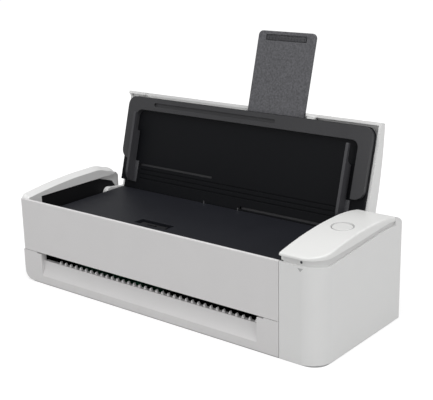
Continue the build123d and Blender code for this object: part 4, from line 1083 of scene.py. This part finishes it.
def floor_material():
    """Grey to the lamps, white where it is looked at, and plain grey under the footprint, a painted contact
    shadow.
    """
    mat, tree, bsdf = blank("studio_floor")
    feed(tree, bsdf, {"Base Color": STUDIO_GREY, "Roughness": STUDIO_ROUGH, "Specular IOR Level": 0.0})
    number = "ShaderNodeMath"
    vector = "ShaderNodeVectorMath"
    path = tree.nodes.new("ShaderNodeLightPath").outputs
    direct = reckoned(tree, number, "MAXIMUM", path["Is Camera Ray"], path["Is Glossy Ray"])["Value"]
    looked_at = reckoned(tree, number, "MAXIMUM", direct, path["Is Transmission Ray"])["Value"]
    place = tree.nodes.new("ShaderNodeTexCoord").outputs["Object"]
    away = reckoned(tree, vector, "LENGTH", place)["Value"]
    rise = spread(tree, away, GLOW_NEAR, GLOW_FAR, GLOW_START, GLOW_REACH)
    # The footprint mask: under the body the floor gets no glow, a painted contact shadow along the base.
    side = reckoned(tree, vector, "ABSOLUTE", place)["Vector"]
    inset = (cad_high.x - FOOTPRINT_R, -cad_low.y - FOOTPRINT_R, 0.0)
    past = reckoned(tree, vector, "SUBTRACT", side, inset)["Vector"]
    outside = reckoned(tree, vector, "MAXIMUM", past, (0.0, 0.0, 0.0))["Vector"]
    gap = reckoned(tree, vector, "LENGTH", outside)["Value"]
    beyond_painted_shadow = spread(tree, gap, 0.0, 1.0, FOOTPRINT_R - FOOTPRINT_EDGE, FOOTPRINT_R)
    lit = reckoned(tree, number, "MULTIPLY", rise, beyond_painted_shadow)["Value"]
    glow = add_node(tree, "ShaderNodeEmission", {"Color": STUDIO_WHITE, "Strength": lit}).outputs["Emission"]
    added = add_node(tree, "ShaderNodeAddShader", {0: bsdf.outputs["BSDF"], 1: glow}).outputs["Shader"]
    mix = add_node(tree, "ShaderNodeMixShader", {"Fac": looked_at, 1: bsdf.outputs["BSDF"], 2: added})
    feed(tree, tree.nodes["Material Output"], {"Surface": mix.outputs["Shader"]})
    return mat


floor_mesh = bpy.data.meshes.new("studio_floor")
bm = bmesh.new()
bmesh.ops.create_grid(bm, x_segments=1, y_segments=1, size=FLOOR_HALF)
bm.to_mesh(floor_mesh)
bm.free()
floor_mesh.transform(Matrix.Translation((0, 0, -FLOOR_DROP)))
floor_mesh.materials.append(floor_material())
floor = linked("studio_floor", floor_mesh)

world = bpy.data.worlds.new("studio_room")
world.use_nodes = True
scene.world = world
room = world.node_tree
ways = room.nodes.new("ShaderNodeLightPath").outputs
seen = reckoned(room, "ShaderNodeMath", "MAXIMUM", ways["Is Camera Ray"], ways["Is Transmission Ray"])
room_light = {"Strength": spread(room, seen["Value"], ROOM_LIGHT, 1.0), "Color": STUDIO_WHITE}
feed(room, room.nodes["Background"], room_light)

for name, lamp in LAMPS.items():
    light = bpy.data.lights.new(name, "AREA")
    light.shape = "RECTANGLE"
    light.size, light.size_y = lamp["size"]
    light.energy = lamp["watts"]
    softbox = linked(name, light)
    softbox.location = lamp["at"]
    softbox.rotation_euler = (Vector(lamp["towards"]) - softbox.location).to_track_quat("-Z", "Y").to_euler()

scene.view_settings.view_transform = "Standard"
